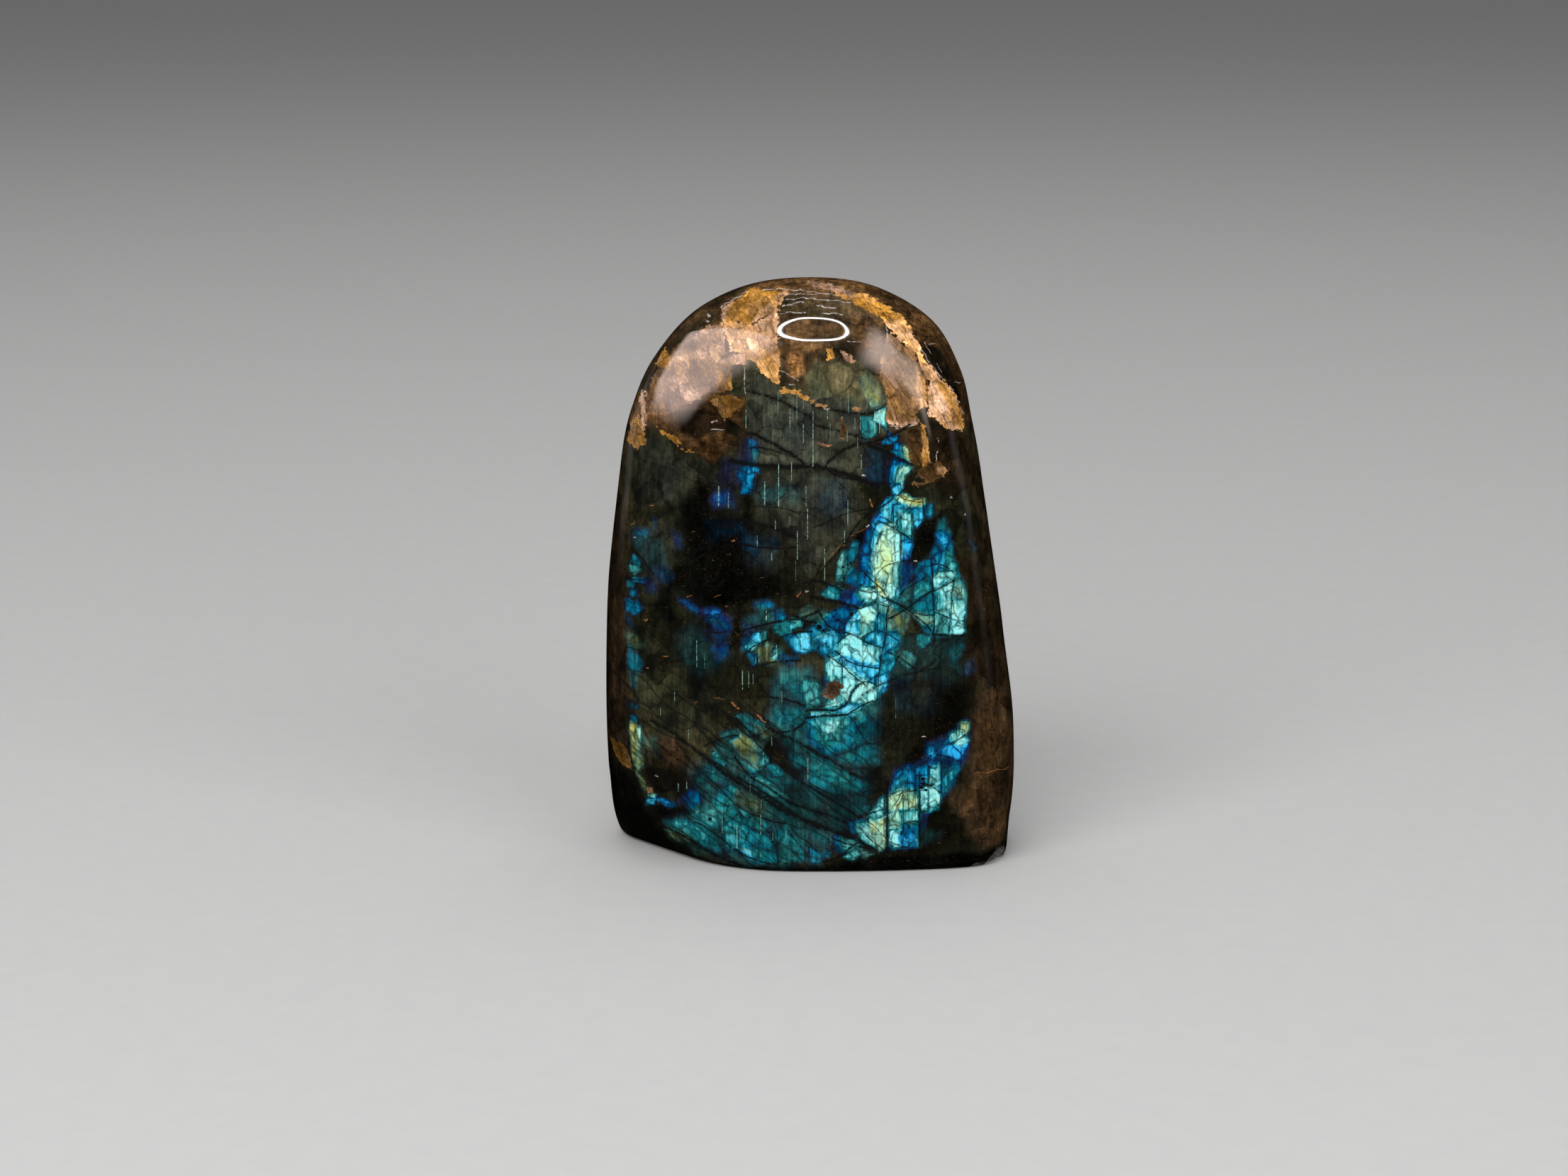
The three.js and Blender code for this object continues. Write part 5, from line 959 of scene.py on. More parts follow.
def scattered_crystals(p):
    """Crystals at random places, most of them high up.

    Gives how far points lie outside them, and two random numbers for the place that is nearest.
    """
    sites = np.random.default_rng(21).uniform(SITE_LOW, SITE_HIGH, (SITE_COUNT, 3))
    chance = 0.08 + 0.5 * smooth(80, 104, sites[:, 2])
    picked = np.random.default_rng(5).random(SITE_COUNT) < chance
    draws = np.random.default_rng(9).random(SITE_COUNT)
    first = np.full(len(p), FAR)
    second = np.full(len(p), FAR)
    nearest = np.zeros(len(p), int)
    wobbled = p + 0.8 * np.stack([noise(p, 3, 1.1), noise(p, 3, 2.9), noise(p, 3, 7.7)], -1)
    for i, site in enumerate(sites):
        away = np.linalg.norm((wobbled - site) * np.array([1, 1, 0.8]), axis=-1)
        second = np.where(away < first, first, np.minimum(second, away))
        nearest = np.where(away < first, i, nearest)
        first = np.minimum(first, away)
    border = (second - first) / 2
    outside = np.where(picked[nearest], -border, border)
    return outside, draws[nearest], draws[(nearest * 7) % SITE_COUNT]


def other_side_fields(p):
    """The same fields for the sides, the back and the top, which the photograph doesn't show."""
    broad, middling = noise(p, 17, 2.2), noise(p, 7, 6.1)
    patch = smooth(0.05, 0.5, noise(p * np.array([1, 1, 0.7]), 15, 11.3) + 0.3 * middling)
    back = smooth(4, 14, p[:, 1]) * smooth(98, 84, p[:, 2])
    outside, tone_draw, gleam_draw = scattered_crystals(p)
    return dict(
        flash=patch * back * (0.25 + 0.75 * smooth(-0.3, 0.6, noise(p, 6, 8.8))),
        hue=np.clip(0.46 + 0.45 * noise(p, 11, 14.2) + 0.15 * broad, 0.1, 1),
        light=np.clip(0.34 + 0.34 * broad + 0.16 * middling, 0.02, 1),
        warm=np.clip(0.42 + 0.6 * noise(p, 13, 3.7), 0, 0.8),
        crystal=outside + CRYSTAL_GROWTH,
        seam=np.full(len(p), NO_SEAM),
        tone=0.35 + 0.6 * tone_draw,
        gleam=0.30 + 0.35 * gleam_draw,
    )


def store(mesh, name, values):
    attribute = mesh.attributes.new(name, "FLOAT", "POINT")
    attribute.data.foreach_set("value", values.astype(np.float32))


def paint(mesh, points, offset):
    """Stores the fields on the stone's mesh, from which its material makes the colours."""
    p = points - offset
    front = smooth(*FRONT_DEPTHS, p[:, 1])
    near, far = show_face_fields(p), other_side_fields(p)
    for name in near:
        store(mesh, name, near[name] * front + far[name] * (1 - front))
    store(mesh, "front", front)
    chipped = smooth(*CHIP_BORDER, chip_distance(points))
    sawn = smooth(*SAWN_HEIGHTS, p[:, 2])
    store(mesh, "broken", np.maximum(chipped, sawn))


class Nodes:
    """A node tree, written one node at a time. Values are numbers, tuples or other nodes' outputs."""

    def __init__(self, tree):
        self.tree = tree

    def add(self, kind, *values, **settings):
        node = self.tree.nodes.new(kind)
        for key, value in settings.items():
            setattr(node, key, value)
        for slot, value in enumerate(values):
            self.feed(node.inputs[slot], value)
        return node

    def feed(self, socket, value):
        if isinstance(value, bpy.types.NodeSocket):
            self.tree.links.new(value, socket)
        else:
            socket.default_value = value

    def math(self, operation, *values, clamp=False):
        return self.add("ShaderNodeMath", *values, operation=operation, use_clamp=clamp).outputs[0]

    def times(self, *values):
        """The product of all the values."""
        product = values[0]
        for value in values[1:]:
            product = self.math("MULTIPLY", product, value)
        return product

    def largest(self, values):
        most = values[0]
        for value in values[1:]:
            most = self.math("MAXIMUM", most, value)
        return most

    def vector(self, operation, *values):
        node = self.add("ShaderNodeVectorMath", *values, operation=operation)
        return node.outputs["Value" if operation in ("DOT_PRODUCT", "DISTANCE") else "Vector"]

    def scale(self, vector, factor):
        node = self.add("ShaderNodeVectorMath", vector, operation="SCALE")
        self.feed(node.inputs["Scale"], factor)
        return node.outputs["Vector"]

    def stretch(self, place, across, deep, up):
        return self.vector("MULTIPLY", place, (across, deep, up))

    def lean(self, place, degrees, size):
        """The place in cells of the given size that lean to one side."""
        turn = (0, math.radians(degrees), 0)
        return self.add("ShaderNodeMapping", place, (0, 0, 0), turn, size, vector_type="TEXTURE").outputs[0]

    def attribute(self, name):
        return self.add("ShaderNodeAttribute", attribute_name=name).outputs["Fac"]

    def noise(self, place, scale, detail=2.0, roughness=0.5, colour=False):
        node = self.add("ShaderNodeTexNoise")
        self.feed(node.inputs["Vector"], place)
        self.feed(node.inputs["Scale"], scale)
        self.feed(node.inputs["Detail"], detail)
        self.feed(node.inputs["Roughness"], roughness)
        return node.outputs["Color" if colour else "Fac"]

    def cells(self, place, scale):
        """Three numbers from 0 to 1 that are random from cell to cell."""
        node = self.add("ShaderNodeTexVoronoi")
        self.feed(node.inputs["Vector"], place)
        self.feed(node.inputs["Scale"], scale)
        return self.add("ShaderNodeSeparateColor", node.outputs["Color"]).outputs

    def cell_edges(self, place, scale):
        """The distance to the nearest edge between cells."""
        node = self.add("ShaderNodeTexVoronoi", feature="DISTANCE_TO_EDGE")
        self.feed(node.inputs["Vector"], place)
        self.feed(node.inputs["Scale"], scale)
        return node.outputs["Distance"]

    def span(self, value, low, high, to_low=0.0, to_high=1.0, soft=False):
        """Carries the value from the range low to high into another range, and stays inside it."""
        node = self.add("ShaderNodeMapRange", value, low, high, to_low, to_high)
        node.interpolation_type = "SMOOTHSTEP" if soft else "LINEAR"
        return node.outputs[0]

    def vary(self, value, by, low, high, within=(0.35, 0.65)):
        """The value times a factor that goes from low to high as `by` crosses the range."""
        return self.math("MULTIPLY", value, self.span(by, *within, low, high))

    def nudge(self, value, by, amount, clamp=False):
        """The value, moved by up to half the amount down or up as `by` goes from 0 to 1."""
        lowest = self.math("SUBTRACT", value, amount / 2)
        return self.math("MULTIPLY_ADD", by, amount, lowest, clamp=clamp)

    def line(self, distance, width, darkness):
        """A line where the distance is 0, fading out over the width."""
        return self.span(distance, 0.0, width, darkness, 0.0)

    def ramp(self, value, stops):
        node = self.add("ShaderNodeValToRGB", value)
        elements = node.color_ramp.elements
        for _ in stops[2:]:
            elements.new(0.5)
        for element, (place, colour) in zip(elements, stops):
            element.position = place
            element.color = (*colour, 1)
        return node.outputs["Color"]

    def mix(self, share, a, b):
        node = self.tree.nodes.new("ShaderNodeMix")
        node.data_type = "RGBA"
        for socket, value in zip((node.inputs[0], node.inputs[6], node.inputs[7]), (share, a, b)):
            if isinstance(value, tuple):
                value = (*value, 1)
            self.feed(socket, value)
        return node.outputs[2]


# Colours of the flash in the order of HUE, dim and at its brightest, then of the body and the crystals.
FLASH_COLOURS = [
    (0.00, (0.045, 0.045, 0.18)),
    (0.15, (0.003, 0.105, 0.40)),
    (0.32, (0.002, 0.26, 0.56)),
    (0.45, (0.012, 0.43, 0.60)),
    (0.58, (0.022, 0.47, 0.50)),
    (0.70, (0.10, 0.64, 0.64)),
    (0.82, (0.30, 0.74, 0.58)),
    (0.92, (0.44, 0.62, 0.24)),
    (1.00, (0.50, 0.46, 0.10)),
]
PALE_FLASH = [
    (0.0, (0.02, 0.22, 0.85)),
    (0.35, (0.04, 0.55, 0.95)),
    (0.55, (0.28, 0.84, 0.92)),
    (0.70, (0.48, 0.94, 0.90)),
    (0.92, (0.58, 0.84, 0.44)),
    (1.0, (0.66, 0.70, 0.24)),
]
MIST = (0.16, 0.18, 0.23)
BODY_COLOURS = [
    (0.0, (0.050, 0.053, 0.041)),
    (0.25, (0.056, 0.058, 0.028)),
    (0.5, (0.082, 0.050, 0.024)),
    (1.0, (0.28, 0.130, 0.040)),
]
# Colour of the small warm flecks, painted as tiny glints of light.
FLECK_GLINT_COLOUR = (0.075, 0.040, 0.018)
PEACH, TAN, OCHRE = (0.64, 0.39, 0.27), (0.60, 0.32, 0.14), (0.60, 0.28, 0.048)
LAMELLA_COLOUR, GLINT_COOL, GLINT_WARM = (0.32, 0.54, 0.44), (0.52, 0.46, 0.42), (0.42, 0.17, 0.06)
CRACK_COLOUR = (0.004, 0.004, 0.004)
BROKEN_DARK, BROKEN_PALE = (0.045, 0.040, 0.036), (0.17, 0.15, 0.135)

# How the glow follows from the flash: contrast, most power, and how much of it reaches the eye.
FLASH_CONTRAST, FLASH_MOST, FLASH_SHARE = 1.3, 1.1, 0.82
# The stronger the flash, the less of the body shows: nothing from a flash of 1 / BODY_LOSS on.
BODY_LOSS = 2.2
CRACK_OPACITY = 0.96
CRACK_PROFILE = [(0.0, (0, 0, 0)), (0.3, (0.3, 0.3, 0.3)), (0.5, (0.6, 0.6, 0.6)), (0.66, (1, 1, 1))]
# Glints warmer than this are orange, narrower and fainter.
WARM_GLINT, WARM_GLINT_WIDTH, WARM_GLINT_STRENGTH = 0.65, 0.75, 0.8
SPECK_SPREAD = 1.5

SURFACE = {"Roughness": 0.45, "Specular IOR Level": 0.0, "Coat Roughness": 0.03, "Coat IOR": 1.45}
BUMP_STRENGTH, BUMP_DEPTH = 0.25, 0.4 * MM

STROKE_INPUTS = [
    ("Place", "NodeSocketVector"), ("Along", "NodeSocketVector"), ("Along shift", "NodeSocketFloat"),
    ("Across", "NodeSocketVector"), ("Across shift", "NodeSocketFloat"), ("Bend", "NodeSocketFloat"),
    ("Sharpness", "NodeSocketFloat"), ("Strength", "NodeSocketFloat"), ("So far", "NodeSocketFloat"),
]
STROKE_END_TAPER = 3.0


def stroke_group():
    """Node group: how strongly a bent stroke covers a point.

    Along and Across turn a place into the share of the half length and the millimetres off the line.
    """
    tree = bpy.data.node_groups.new("stroke", "ShaderNodeTree")
    for name, kind in STROKE_INPUTS:
        tree.interface.new_socket(name, in_out="INPUT", socket_type=kind)
    tree.interface.new_socket("Cover", in_out="OUTPUT", socket_type="NodeSocketFloat")
    nodes = Nodes(tree)
    source = tree.nodes.new("NodeGroupInput").outputs
    along = nodes.vector("DOT_PRODUCT", source["Place"], source["Along"])
    along = nodes.math("ADD", along, source["Along shift"])
    along = nodes.math("MULTIPLY", along, along)
    across = nodes.vector("DOT_PRODUCT", source["Place"], source["Across"])
    across = nodes.math("ADD", across, source["Across shift"])
    off_line = nodes.math("MULTIPLY_ADD", along, source["Bend"], across)
    off_line = nodes.math("ABSOLUTE", off_line)
    beyond = nodes.math("SUBTRACT", along, 1.0)
    beyond = nodes.math("MAXIMUM", beyond, 0.0)
    away = nodes.math("MULTIPLY_ADD", beyond, STROKE_END_TAPER, off_line)
    share = nodes.math("MULTIPLY", away, source["Sharpness"])
    share = nodes.math("SUBTRACT", 1.0, share)
    share = nodes.math("MULTIPLY", share, source["Strength"])
    total = nodes.math("MAXIMUM", share, source["So far"])
    end = tree.nodes.new("NodeGroupOutput")
    tree.links.new(total, end.inputs[0])
    return tree


def add_stroke(nodes, group, place, start, end, bend, width, strength, so_far):
    """Adds one stroke to those drawn so far, and gives back how strongly they cover a point together."""
    (ax, az), (bx, bz) = start, end
    node = nodes.tree.nodes.new("ShaderNodeGroup")
    node.node_tree = group
    half = math.hypot(bx - ax, bz - az) / 2
    way_x, way_z = (bx - ax) / (2 * half), (bz - az) / (2 * half)
    middle_x, middle_z = (ax + bx) / 2, (az + bz) / 2
    values = {
        "Place": place,
        "Along": (way_x / half, 0, way_z / half),
        "Along shift": -(middle_x * way_x + middle_z * way_z) / half,
        "Across": (-way_z, 0, way_x),
        "Across shift": middle_x * way_z - middle_z * way_x - bend,
        "Bend": bend,
        "Sharpness": 1 / width,
        "Strength": strength,
        "So far": so_far,
    }
    for name, value in values.items():
        nodes.feed(node.inputs[name], value)
    return node.outputs[0]


def shared_textures(n):
    """The places, noises and cells that several parts of the look are made from."""
    t = SimpleNamespace()
    position = n.add("ShaderNodeTexCoord").outputs["Object"]
    t.place = n.scale(position, 1 / MM)
    t.front = n.attribute("front")
    wobble = n.noise(t.place, 0.45, 3, 0.6, colour=True)
    wobble = n.vector("SUBTRACT", wobble, (0.5, 0.5, 0.5))
    t.wobbled = n.vector("MULTIPLY_ADD", wobble, (1.3, 1.3, 1.3), t.place)
    t.nearly_straight = n.vector("MULTIPLY_ADD", wobble, (0.7, 0.7, 0.7), t.place)
    # grains that the cracks part, each with its own brightness
    t.cell = n.cells(t.wobbled, 0.22)
    t.cell_edge = n.cell_edges(t.wobbled, 0.22)
    t.fine_edge = n.cell_edges(n.stretch(t.wobbled, 1.0, 1.0, 0.75), 0.52)
    t.streaks = n.noise(n.stretch(t.place, 2.2, 0.4, 0.06), 1.0, 2, 0.6)
    t.grain = n.noise(t.place, 1.6, 3, 0.65)
    t.blotches = n.noise(t.wobbled, 0.33, 4, 0.65)
    t.wisps = n.noise(n.stretch(t.wobbled, 1.0, 1.0, 0.6), 0.75, 5, 0.72)
    t.cloud = n.noise(t.wobbled, 0.16, 4, 0.6)
    t.gaps = n.span(n.noise(t.place, 0.35, 2, 0.5), 0.42, 0.58)
    t.warm = n.attribute("warm")
    t.flash = n.attribute("flash")
    return t


def body_colour(n, t):
    """The grey-green and brown stone under the flash."""
    body = n.ramp(n.nudge(t.warm, t.cloud, 0.5, clamp=True), BODY_COLOURS)
    light = n.attribute("light")
    light = n.vary(light, t.cloud, 0.5, 1.4, within=(0.3, 0.7))
    light = n.vary(light, t.cell[1], 0.45, 1.4, within=(0, 1))
    # painted shade: the body darker next to the cracks between grains and lighter in their middles
    light = n.vary(light, t.cell_edge, 0.8, 1.08, within=(0.0, 0.25))
    light = n.vary(light, t.streaks, 0.8, 1.2)
    light = n.vary(light, t.wisps, 0.5, 1.55)
    shreds = n.noise(n.stretch(t.wobbled, 0.5, 1.6, 1.4), 1.0, 4, 0.7)
    brown = n.span(t.warm, 0.4, 0.8)
    shredded = n.math("MULTIPLY_ADD", brown, n.span(shreds, 0.35, 0.65, -0.75, 1.0), 1.0)
    body = n.scale(body, n.times(light, shredded))
    # Small warm flecks in the body, painted as tiny glints of light.
    fleck_glints = n.noise(n.stretch(t.place, 1.0, 1.0, 1.7), 1.5, 3, 0.75)
    fleck_glints = n.times(n.span(fleck_glints, 0.60, 0.72), n.span(t.cloud, 0.4, 0.6))
    return n.vector("ADD", body, n.scale(FLECK_GLINT_COLOUR, fleck_glints))


def flash_hue(n, t):
    hue = n.attribute("hue")
    spread = n.span(t.front, 0, 1, 0.3, 0.1)
    hue = n.math("MULTIPLY_ADD", n.math("SUBTRACT", t.cell[0], 0.5), spread, hue)
    hue = n.nudge(hue, t.cloud, 0.16)
    return n.nudge(hue, t.wisps, 0.34, clamp=True)


def flash_power(n, t):
    power = n.math("POWER", t.flash, FLASH_CONTRAST)
    power = n.vary(power, t.cell[2], 0.85, 1.3, within=(0, 1))
    power = n.vary(power, t.streaks, 0.7, 1.25)
    power = n.vary(power, t.wisps, 0.7, 1.3)
    # away from the show face whole grains stay dark
    grainy = n.math("MAXIMUM", n.span(t.cell[2], 0.2, 0.75, 0.1, 1.5), t.front)
    power = n.times(power, grainy)
    # painted shade: the flash dimmer next to the fine cracks and brighter in the middle of each grain
    power = n.vary(power, t.fine_edge, 0.72, 1.12, within=(0.0, 0.35))
    power = n.vary(power, t.cloud, 0.7, 1.3, within=(0.3, 0.7))
    return n.math("MINIMUM", power, FLASH_MOST)


# The flash is painted over the body as a coloured sheen, a painted reflection from layers inside the stone.
def add_flash(n, t, body):
    hue = flash_hue(n, t)
    power = flash_power(n, t)
    colour = n.ramp(hue, FLASH_COLOURS)
    pale = n.ramp(hue, PALE_FLASH)
    colour = n.mix(n.span(power, 0.5, 1.1, 0.0, 0.6), colour, pale)
    misty = n.times(n.span(t.blotches, 0.46, 0.62, 0.0, 0.5), n.span(power, 0.3, 0.1))
    colour = n.mix(misty, colour, MIST)
    glow = n.scale(colour, n.times(power, FLASH_SHARE))
    kept = n.math("SUBTRACT", 1.0, n.times(t.flash, BODY_LOSS), clamp=True)
    return n.vector("ADD", n.scale(body, kept), glow)


def crack_network(n, t):
    """Fine cracks between the grains and round the patches of flash."""
    other_gaps = n.span(n.noise(t.place, 0.5, 2, 0.5), 0.64, 0.46)
    hair = n.times(n.line(t.cell_edge, 0.055, 0.85), t.gaps)
    hair = n.vary(hair, t.warm, 1.0, 0.3, within=(0.3, 0.45))
    fine_hair = n.times(n.line(t.fine_edge, 0.13, 0.9), other_gaps)
    fine_hair = n.vary(fine_hair, t.flash, 0.3, 1.0, within=(0.1, 0.6))
    curved = n.noise(n.stretch(t.wobbled, 1.0, 1.0, 1.4), 0.28, 4, 0.6)
    curved = n.math("ABSOLUTE", n.math("SUBTRACT", curved, 0.5))
    curved = n.times(n.line(curved, 0.012, 0.8), n.span(t.blotches, 0.42, 0.55))
    upright = n.cell_edges(n.stretch(t.wobbled, 0.9, 0.9, 0.07), 1.0)
    upright = n.times(n.line(upright, 0.07, 0.5), t.gaps)
    # long slanted cracks low on the left
    slanted = n.cell_edges(n.lean(t.wobbled, 36, (13.0, 4, 2.6)), 1.0)
    low_down = n.span(n.vector("DOT_PRODUCT", t.place, (0.25, 0, 1)), 36, 28)
    on_the_left = n.span(n.vector("DOT_PRODUCT", t.place, (1, 0, 0)), 15, 11)
    slanted = n.times(n.line(slanted, 0.13, 0.85), n.times(low_down, on_the_left))
    seam = n.span(n.nudge(n.attribute("seam"), t.grain, 0.3), 0.04, 0.24, 0.95, 0.0)
    return n.largest([hair, fine_hair, seam, curved, upright, slanted])


def add_cracks(n, t, stroke, colour):
    cracks = 0.0
    for ax, az, bx, bz, bend, width, strength in CRACKS:
        width *= CRACK_SPREAD
        cracks = add_stroke(n, stroke, t.nearly_straight, (ax, az), (bx, bz), bend, width, strength, cracks)
    cracks = n.times(cracks, n.times(t.front, n.span(t.grain, 0.35, 0.65, 0.7, 1.25)))
    cracks = n.ramp(cracks, CRACK_PROFILE)
    cracks = n.largest([cracks, crack_network(n, t)])
    return n.mix(n.times(cracks, CRACK_OPACITY), colour, CRACK_COLOUR)


def add_lamellae(n, t, stroke, colour):
    lamellae = 0.0
    for x, low, high, width, strength in LAMELLAE:
        width *= LAMELLA_SPREAD
        lamellae = add_stroke(n, stroke, t.place, (x, low), (x, high), 0.0, width, strength, lamellae)
    breaks = n.noise(n.stretch(t.place, 1.0, 1.0, 1.6), 1.3, 4, 0.8)
    lamellae = n.times(lamellae, t.front, n.span(breaks, 0.40, 0.56))
    return n.mix(lamellae, colour, LAMELLA_COLOUR)


def add_crystals(n, t, colour):
    """Crystals split into leaning shards and small chips, with ragged borders."""
    gleam = n.attribute("gleam")
    leaning = n.lean(t.nearly_straight, -28, (1.7, 2, 4.4))
    shard = n.cells(leaning, 1.0)
    shard_edge = n.cell_edges(leaning, 1.0)
    chips = n.cells(n.stretch(t.wobbled, 1.0, 1.0, 1.4), 1.5)
    ragged = n.nudge(n.nudge(n.attribute("crystal"), t.grain, 0.5), chips[1], 0.5)
    scratches = n.noise(n.stretch(leaning, 7.0, 3.0, 0.8), 1.0, 3, 0.7)
    sheen = n.vary(gleam, shard[0], 0.55, 1.25, within=(0, 1))
    sheen = n.vary(sheen, chips[0], 0.72, 1.22, within=(0, 1))
    sheen = n.vary(sheen, t.blotches, 0.6, 1.3)
    sheen = n.vary(sheen, scratches, 0.6, 1.35)
    sheen = n.vary(sheen, t.wisps, 0.75, 1.25)
    sheen = n.vary(sheen, shard_edge, 0.4, 1.0, within=(0.0, 0.05))
    rim = n.line(n.math("ABSOLUTE", n.math("ADD", ragged, 0.22)), 0.28, 0.45)
    sheen = n.math("MULTIPLY_ADD", n.times(rim, gleam), t.gaps, sheen)
    tone = n.nudge(n.attribute("tone"), t.blotches, -0.6)
    tone = n.nudge(tone, shard[1], 0.36, clamp=True)
    crystals = n.scale(n.ramp(tone, [(0.0, PEACH), (0.5, TAN), (1.0, OCHRE)]), sheen)
    return n.mix(n.span(ragged, 0.06, -0.06), colour, crystals)


# Painted glints of light, and some pale scratches, drawn from the GLINTS table into the colour.
def add_glints(n, t, stroke, colour):
    cool, warm = 0.0, 0.0
    for ax, az, bx, bz, width, warmth in GLINTS:
        start, end = (ax, az), (bx, bz)
        if warmth > WARM_GLINT:
            width *= WARM_GLINT_WIDTH
            warm = add_stroke(n, stroke, t.wobbled, start, end, 0.0, width, WARM_GLINT_STRENGTH, warm)
        else:
            cool = add_stroke(n, stroke, t.wobbled, start, end, 0.0, width, 1.0, cool)
    parts = n.times(t.front, n.span(n.noise(t.place, 2.6, 3, 0.7), 0.38, 0.6))
    colour = n.mix(n.times(warm, parts), colour, GLINT_WARM)
    return n.mix(n.times(cool, parts), colour, GLINT_COOL)


def add_specks(n, t, stroke, colour):
    specks = 0.0
    for x, z, radius in SPECKS:
        width = radius * SPECK_SPREAD
        specks = add_stroke(n, stroke, t.place, (x - radius, z), (x + radius, z), 0.0, width, 1.0, specks)
    specks = n.times(specks, t.front)
    return n.mix(n.span(specks, 0.2, 0.5), colour, CRACK_COLOUR)


def finish_surface(n, t, shader, colour):
    """Raw stone where it is broken or sawn, and a clear polish over the rest."""
    broken = n.attribute("broken")
    raw = n.mix(n.span(t.grain, 0.4, 0.6), BROKEN_DARK, BROKEN_PALE)
    n.feed(shader.inputs["Base Color"], n.mix(broken, colour, raw))
    n.feed(shader.inputs["Coat Weight"], n.span(broken, 0.0, 1.0, 1.0, 0.1))
    for name, value in SURFACE.items():
        shader.inputs[name].default_value = value
    rough = n.times(broken, n.noise(t.place, 3.0, 4, 0.7))
    bump = n.add("ShaderNodeBump")
    bump.inputs["Strength"].default_value = BUMP_STRENGTH
    bump.inputs["Distance"].default_value = BUMP_DEPTH
    n.feed(bump.inputs["Height"], n.math("ADD", n.times(t.grain, 0.3), rough))
    n.feed(shader.inputs["Normal"], bump.outputs[0])


def labradorite():
    material = bpy.data.materials.new("labradorite")
    material.use_nodes = True
    tree = material.node_tree
    tree.nodes.clear()
    n = Nodes(tree)
    stroke = stroke_group()
    t = shared_textures(n)
    colour = add_flash(n, t, body_colour(n, t))
    colour = add_cracks(n, t, stroke, colour)
    colour = add_lamellae(n, t, stroke, colour)
    colour = add_crystals(n, t, colour)
    colour = add_glints(n, t, stroke, colour)
    colour = add_specks(n, t, stroke, colour)
    shader = tree.nodes.new("ShaderNodeBsdfPrincipled")
    output = tree.nodes.new("ShaderNodeOutputMaterial")
    tree.links.new(shader.outputs[0], output.inputs[0])
    finish_surface(n, t, shader, colour)
    return material


# The studio, in metres and degrees. A lamp's azimuth is 0 towards the camera and grows to the right.
# Lamps that light the stone but don't show in its polish: name, azimuth, elevation, distance, size, radiance.
SOFT_LAMPS = [
    ("key", -22, 34, 1.3, (1.1, 0.9), 5.6),
    ("fill", 38, 20, 1.4, (1.0, 0.8), 3.4),
    ("top", 180, 75, 1.5, (1.4, 1.4), 1.5),
]
ROSE, PALE_ROSE, WHITE = (1.0, 0.80, 0.75), (1.0, 0.82, 0.74), (1, 1, 1)
# Lamps that show only in the polish: the same, then colour, roll, and the shares of their size over which
# they fade out, at the sides and bottom and at the top.
HIGHLIGHT_LAMPS = [
    ("left_box", -58, 33, 0.9, (1.56, 0.62), 7.6, ROSE, 0, 0.2, 0.05),
    ("right_box_high", 23, 36, 0.9, (0.26, 0.66), 10.0, PALE_ROSE, -30, 0.4, 0.4),
    ("right_box_low", 35, 26, 0.9, (0.38, 0.50), 6.5, PALE_ROSE, -30, 0.3, 0.3),
    ("left_rim", -125, 6, 1.0, (0.5, 0.6), 0.35, WHITE, 0, 0.45, 0.45),
    ("right_rim", 92, 5, 1.0, (0.4, 0.5), 0.35, WHITE, 0, 0.45, 0.45),
]
RING_LAMP = ("ring", 0.5, 47.5, 0.8, (0.24, 0.24), 40.0)
RING_INNER, RING_OUTER = 0.85, 1.0
# A border of the ring runs from the first to the second of these shares of its own radius.
RING_BORDER_START, RING_BORDER_END = 0.93, 1.06
LAMP_TARGET = Vector((0, 0, 0.08))
WORLD_STRENGTH = 0.26

FLOOR_HALF = 6.0
FLOOR_TONES = (0.46, 0.46, 0.46), (0.50, 0.495, 0.49)

LENS, SENSOR = 85, 36
CAMERA_PLACE, CAMERA_DOWN = (-0.005, -0.6976, 0.1987), 12


def floor():
    h = FLOOR_HALF
    mesh = bpy.data.meshes.new("floor")
    mesh.from_pydata([(-h, -h, 0), (h, -h, 0), (h, h, 0), (-h, h, 0)], [], [(0, 1, 2, 3)])
    piece = bpy.data.objects.new("floor", mesh)
    bpy.context.collection.objects.link(piece)
    material = bpy.data.materials.new("floor_paper")
    material.use_nodes = True
    n = Nodes(material.node_tree)
    shader = material.node_tree.nodes["Principled BSDF"]
    position = n.add("ShaderNodeTexCoord").outputs["Object"]
    speckle = n.noise(position, 180.0, 3, 0.6)
    n.feed(shader.inputs["Base Color"], n.mix(speckle, *FLOOR_TONES))
    shader.inputs["Roughness"].default_value = 1.0
    shader.inputs["Specular IOR Level"].default_value = 0.0
    mesh.materials.append(material)
    piece.visible_glossy = False


def lamp(name, azimuth, elevation, distance, size, radiance, colour=WHITE, roll=0, in_polish=True):
    """An area light aimed at the dome. It shows only in the polish, or only lights the stone."""
    light = bpy.data.lights.new(name, "AREA")
    light.shape = "RECTANGLE"
    width, height = size
    light.size, light.size_y = width, height
    light.energy = radiance * math.pi * width * height
    light.color = colour
    obj = bpy.data.objects.new(name, light)
    bpy.context.collection.objects.link(obj)
    turn, lift = math.radians(azimuth), math.radians(elevation)
    way = Vector((math.sin(turn) * math.cos(lift), -math.cos(turn) * math.cos(lift), math.sin(lift)))
    obj.location = LAMP_TARGET + way * distance
    obj.rotation_euler = (obj.location - LAMP_TARGET).to_track_quat("Z", "Y").to_euler()
    obj.rotation_euler.rotate_axis("Z", math.radians(roll))
    obj.visible_diffuse = not in_polish
    obj.visible_glossy = in_polish
    return light


def lamp_nodes(light):
    """The lamp's nodes, the place on its face from 0 to 1 each way, and the socket for its strength."""
    light.use_nodes = True
    n = Nodes(light.node_tree)
    place = n.add("ShaderNodeNewGeometry").outputs["Parametric"]
    return n, place, light.node_tree.nodes["Emission"].inputs["Strength"]


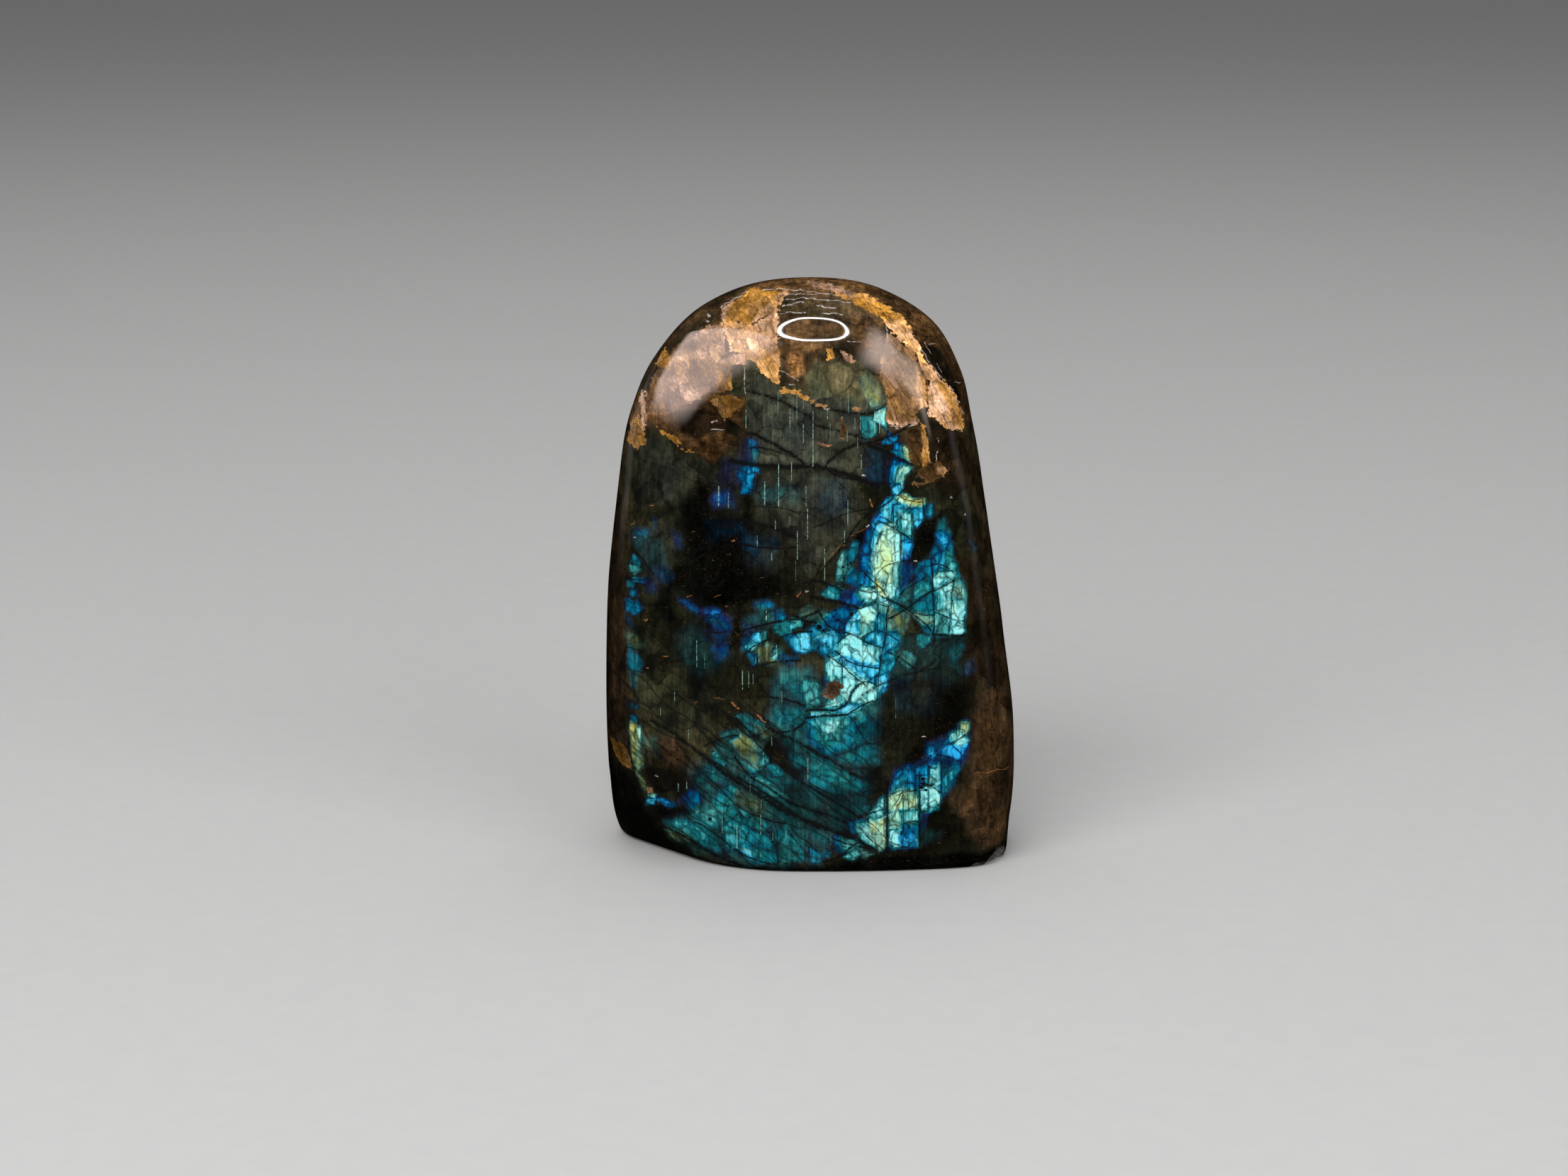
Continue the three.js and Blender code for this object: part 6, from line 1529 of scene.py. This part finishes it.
def ring_pattern(light, inner, outer):
    """Lets a round area light shine only between two shares of its radius, with soft borders."""
    n, place, strength = lamp_nodes(light)
    away = n.vector("DISTANCE", place, (0.5, 0.5, 0.0))
    past_inner = n.span(away, RING_BORDER_START * inner / 2, RING_BORDER_END * inner / 2, soft=True)
    before_outer = n.span(away, outer / 2, RING_BORDER_START * outer / 2, soft=True)
    n.feed(strength, n.times(past_inner, before_outer))


def soft_edges(light, margin, top_margin):
    """Lets an area light fade out towards its rim, over the margins' shares of its size."""
    n, place, strength = lamp_nodes(light)
    away = n.vector("ABSOLUTE", n.vector("SUBTRACT", place, (0.5, 0.5, 0.0)))
    away_across = n.vector("DOT_PRODUCT", away, (1, 0, 0))
    height = n.vector("DOT_PRODUCT", place, (0, 1, 0))
    across = n.span(away_across, 0.5, 0.5 - margin, soft=True)
    bottom = n.span(height, 0.0, margin, soft=True)
    top = n.span(height, 1.0, 1.0 - top_margin, soft=True)
    n.feed(strength, n.times(across, n.times(bottom, top)))


def lights():
    for values in SOFT_LAMPS:
        lamp(*values, in_polish=False)
    for *values, margin, top_margin in HIGHLIGHT_LAMPS:
        soft_edges(lamp(*values), margin, top_margin)
    ring = lamp(*RING_LAMP)
    ring.shape = "DISK"
    ring_pattern(ring, RING_INNER, RING_OUTER)
    world = bpy.data.worlds.new("studio")
    bpy.context.scene.world = world
    world.cycles_visibility.glossy = False
    world.use_nodes = True
    background = world.node_tree.nodes["Background"]
    background.inputs["Color"].default_value = (1, 1, 1, 1)
    background.inputs["Strength"].default_value = WORLD_STRENGTH


def camera():
    data = bpy.data.cameras.new("camera")
    data.lens = LENS
    data.sensor_width = SENSOR
    obj = bpy.data.objects.new("camera", data)
    bpy.context.collection.objects.link(obj)
    obj.location = CAMERA_PLACE
    obj.rotation_euler = (math.radians(90 - CAMERA_DOWN), 0, 0)
    bpy.context.scene.camera = obj


def stone():
    mesh, points, offset = stone_mesh()
    paint(mesh, points, offset)
    piece = bpy.data.objects.new("polished_stone", mesh)
    bpy.context.collection.objects.link(piece)
    mesh.materials.append(labradorite())
    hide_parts("stone")
    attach(piece, "root")


camera()
lights()
floor()
stone()
bpy.context.scene.view_settings.view_transform = "Standard"
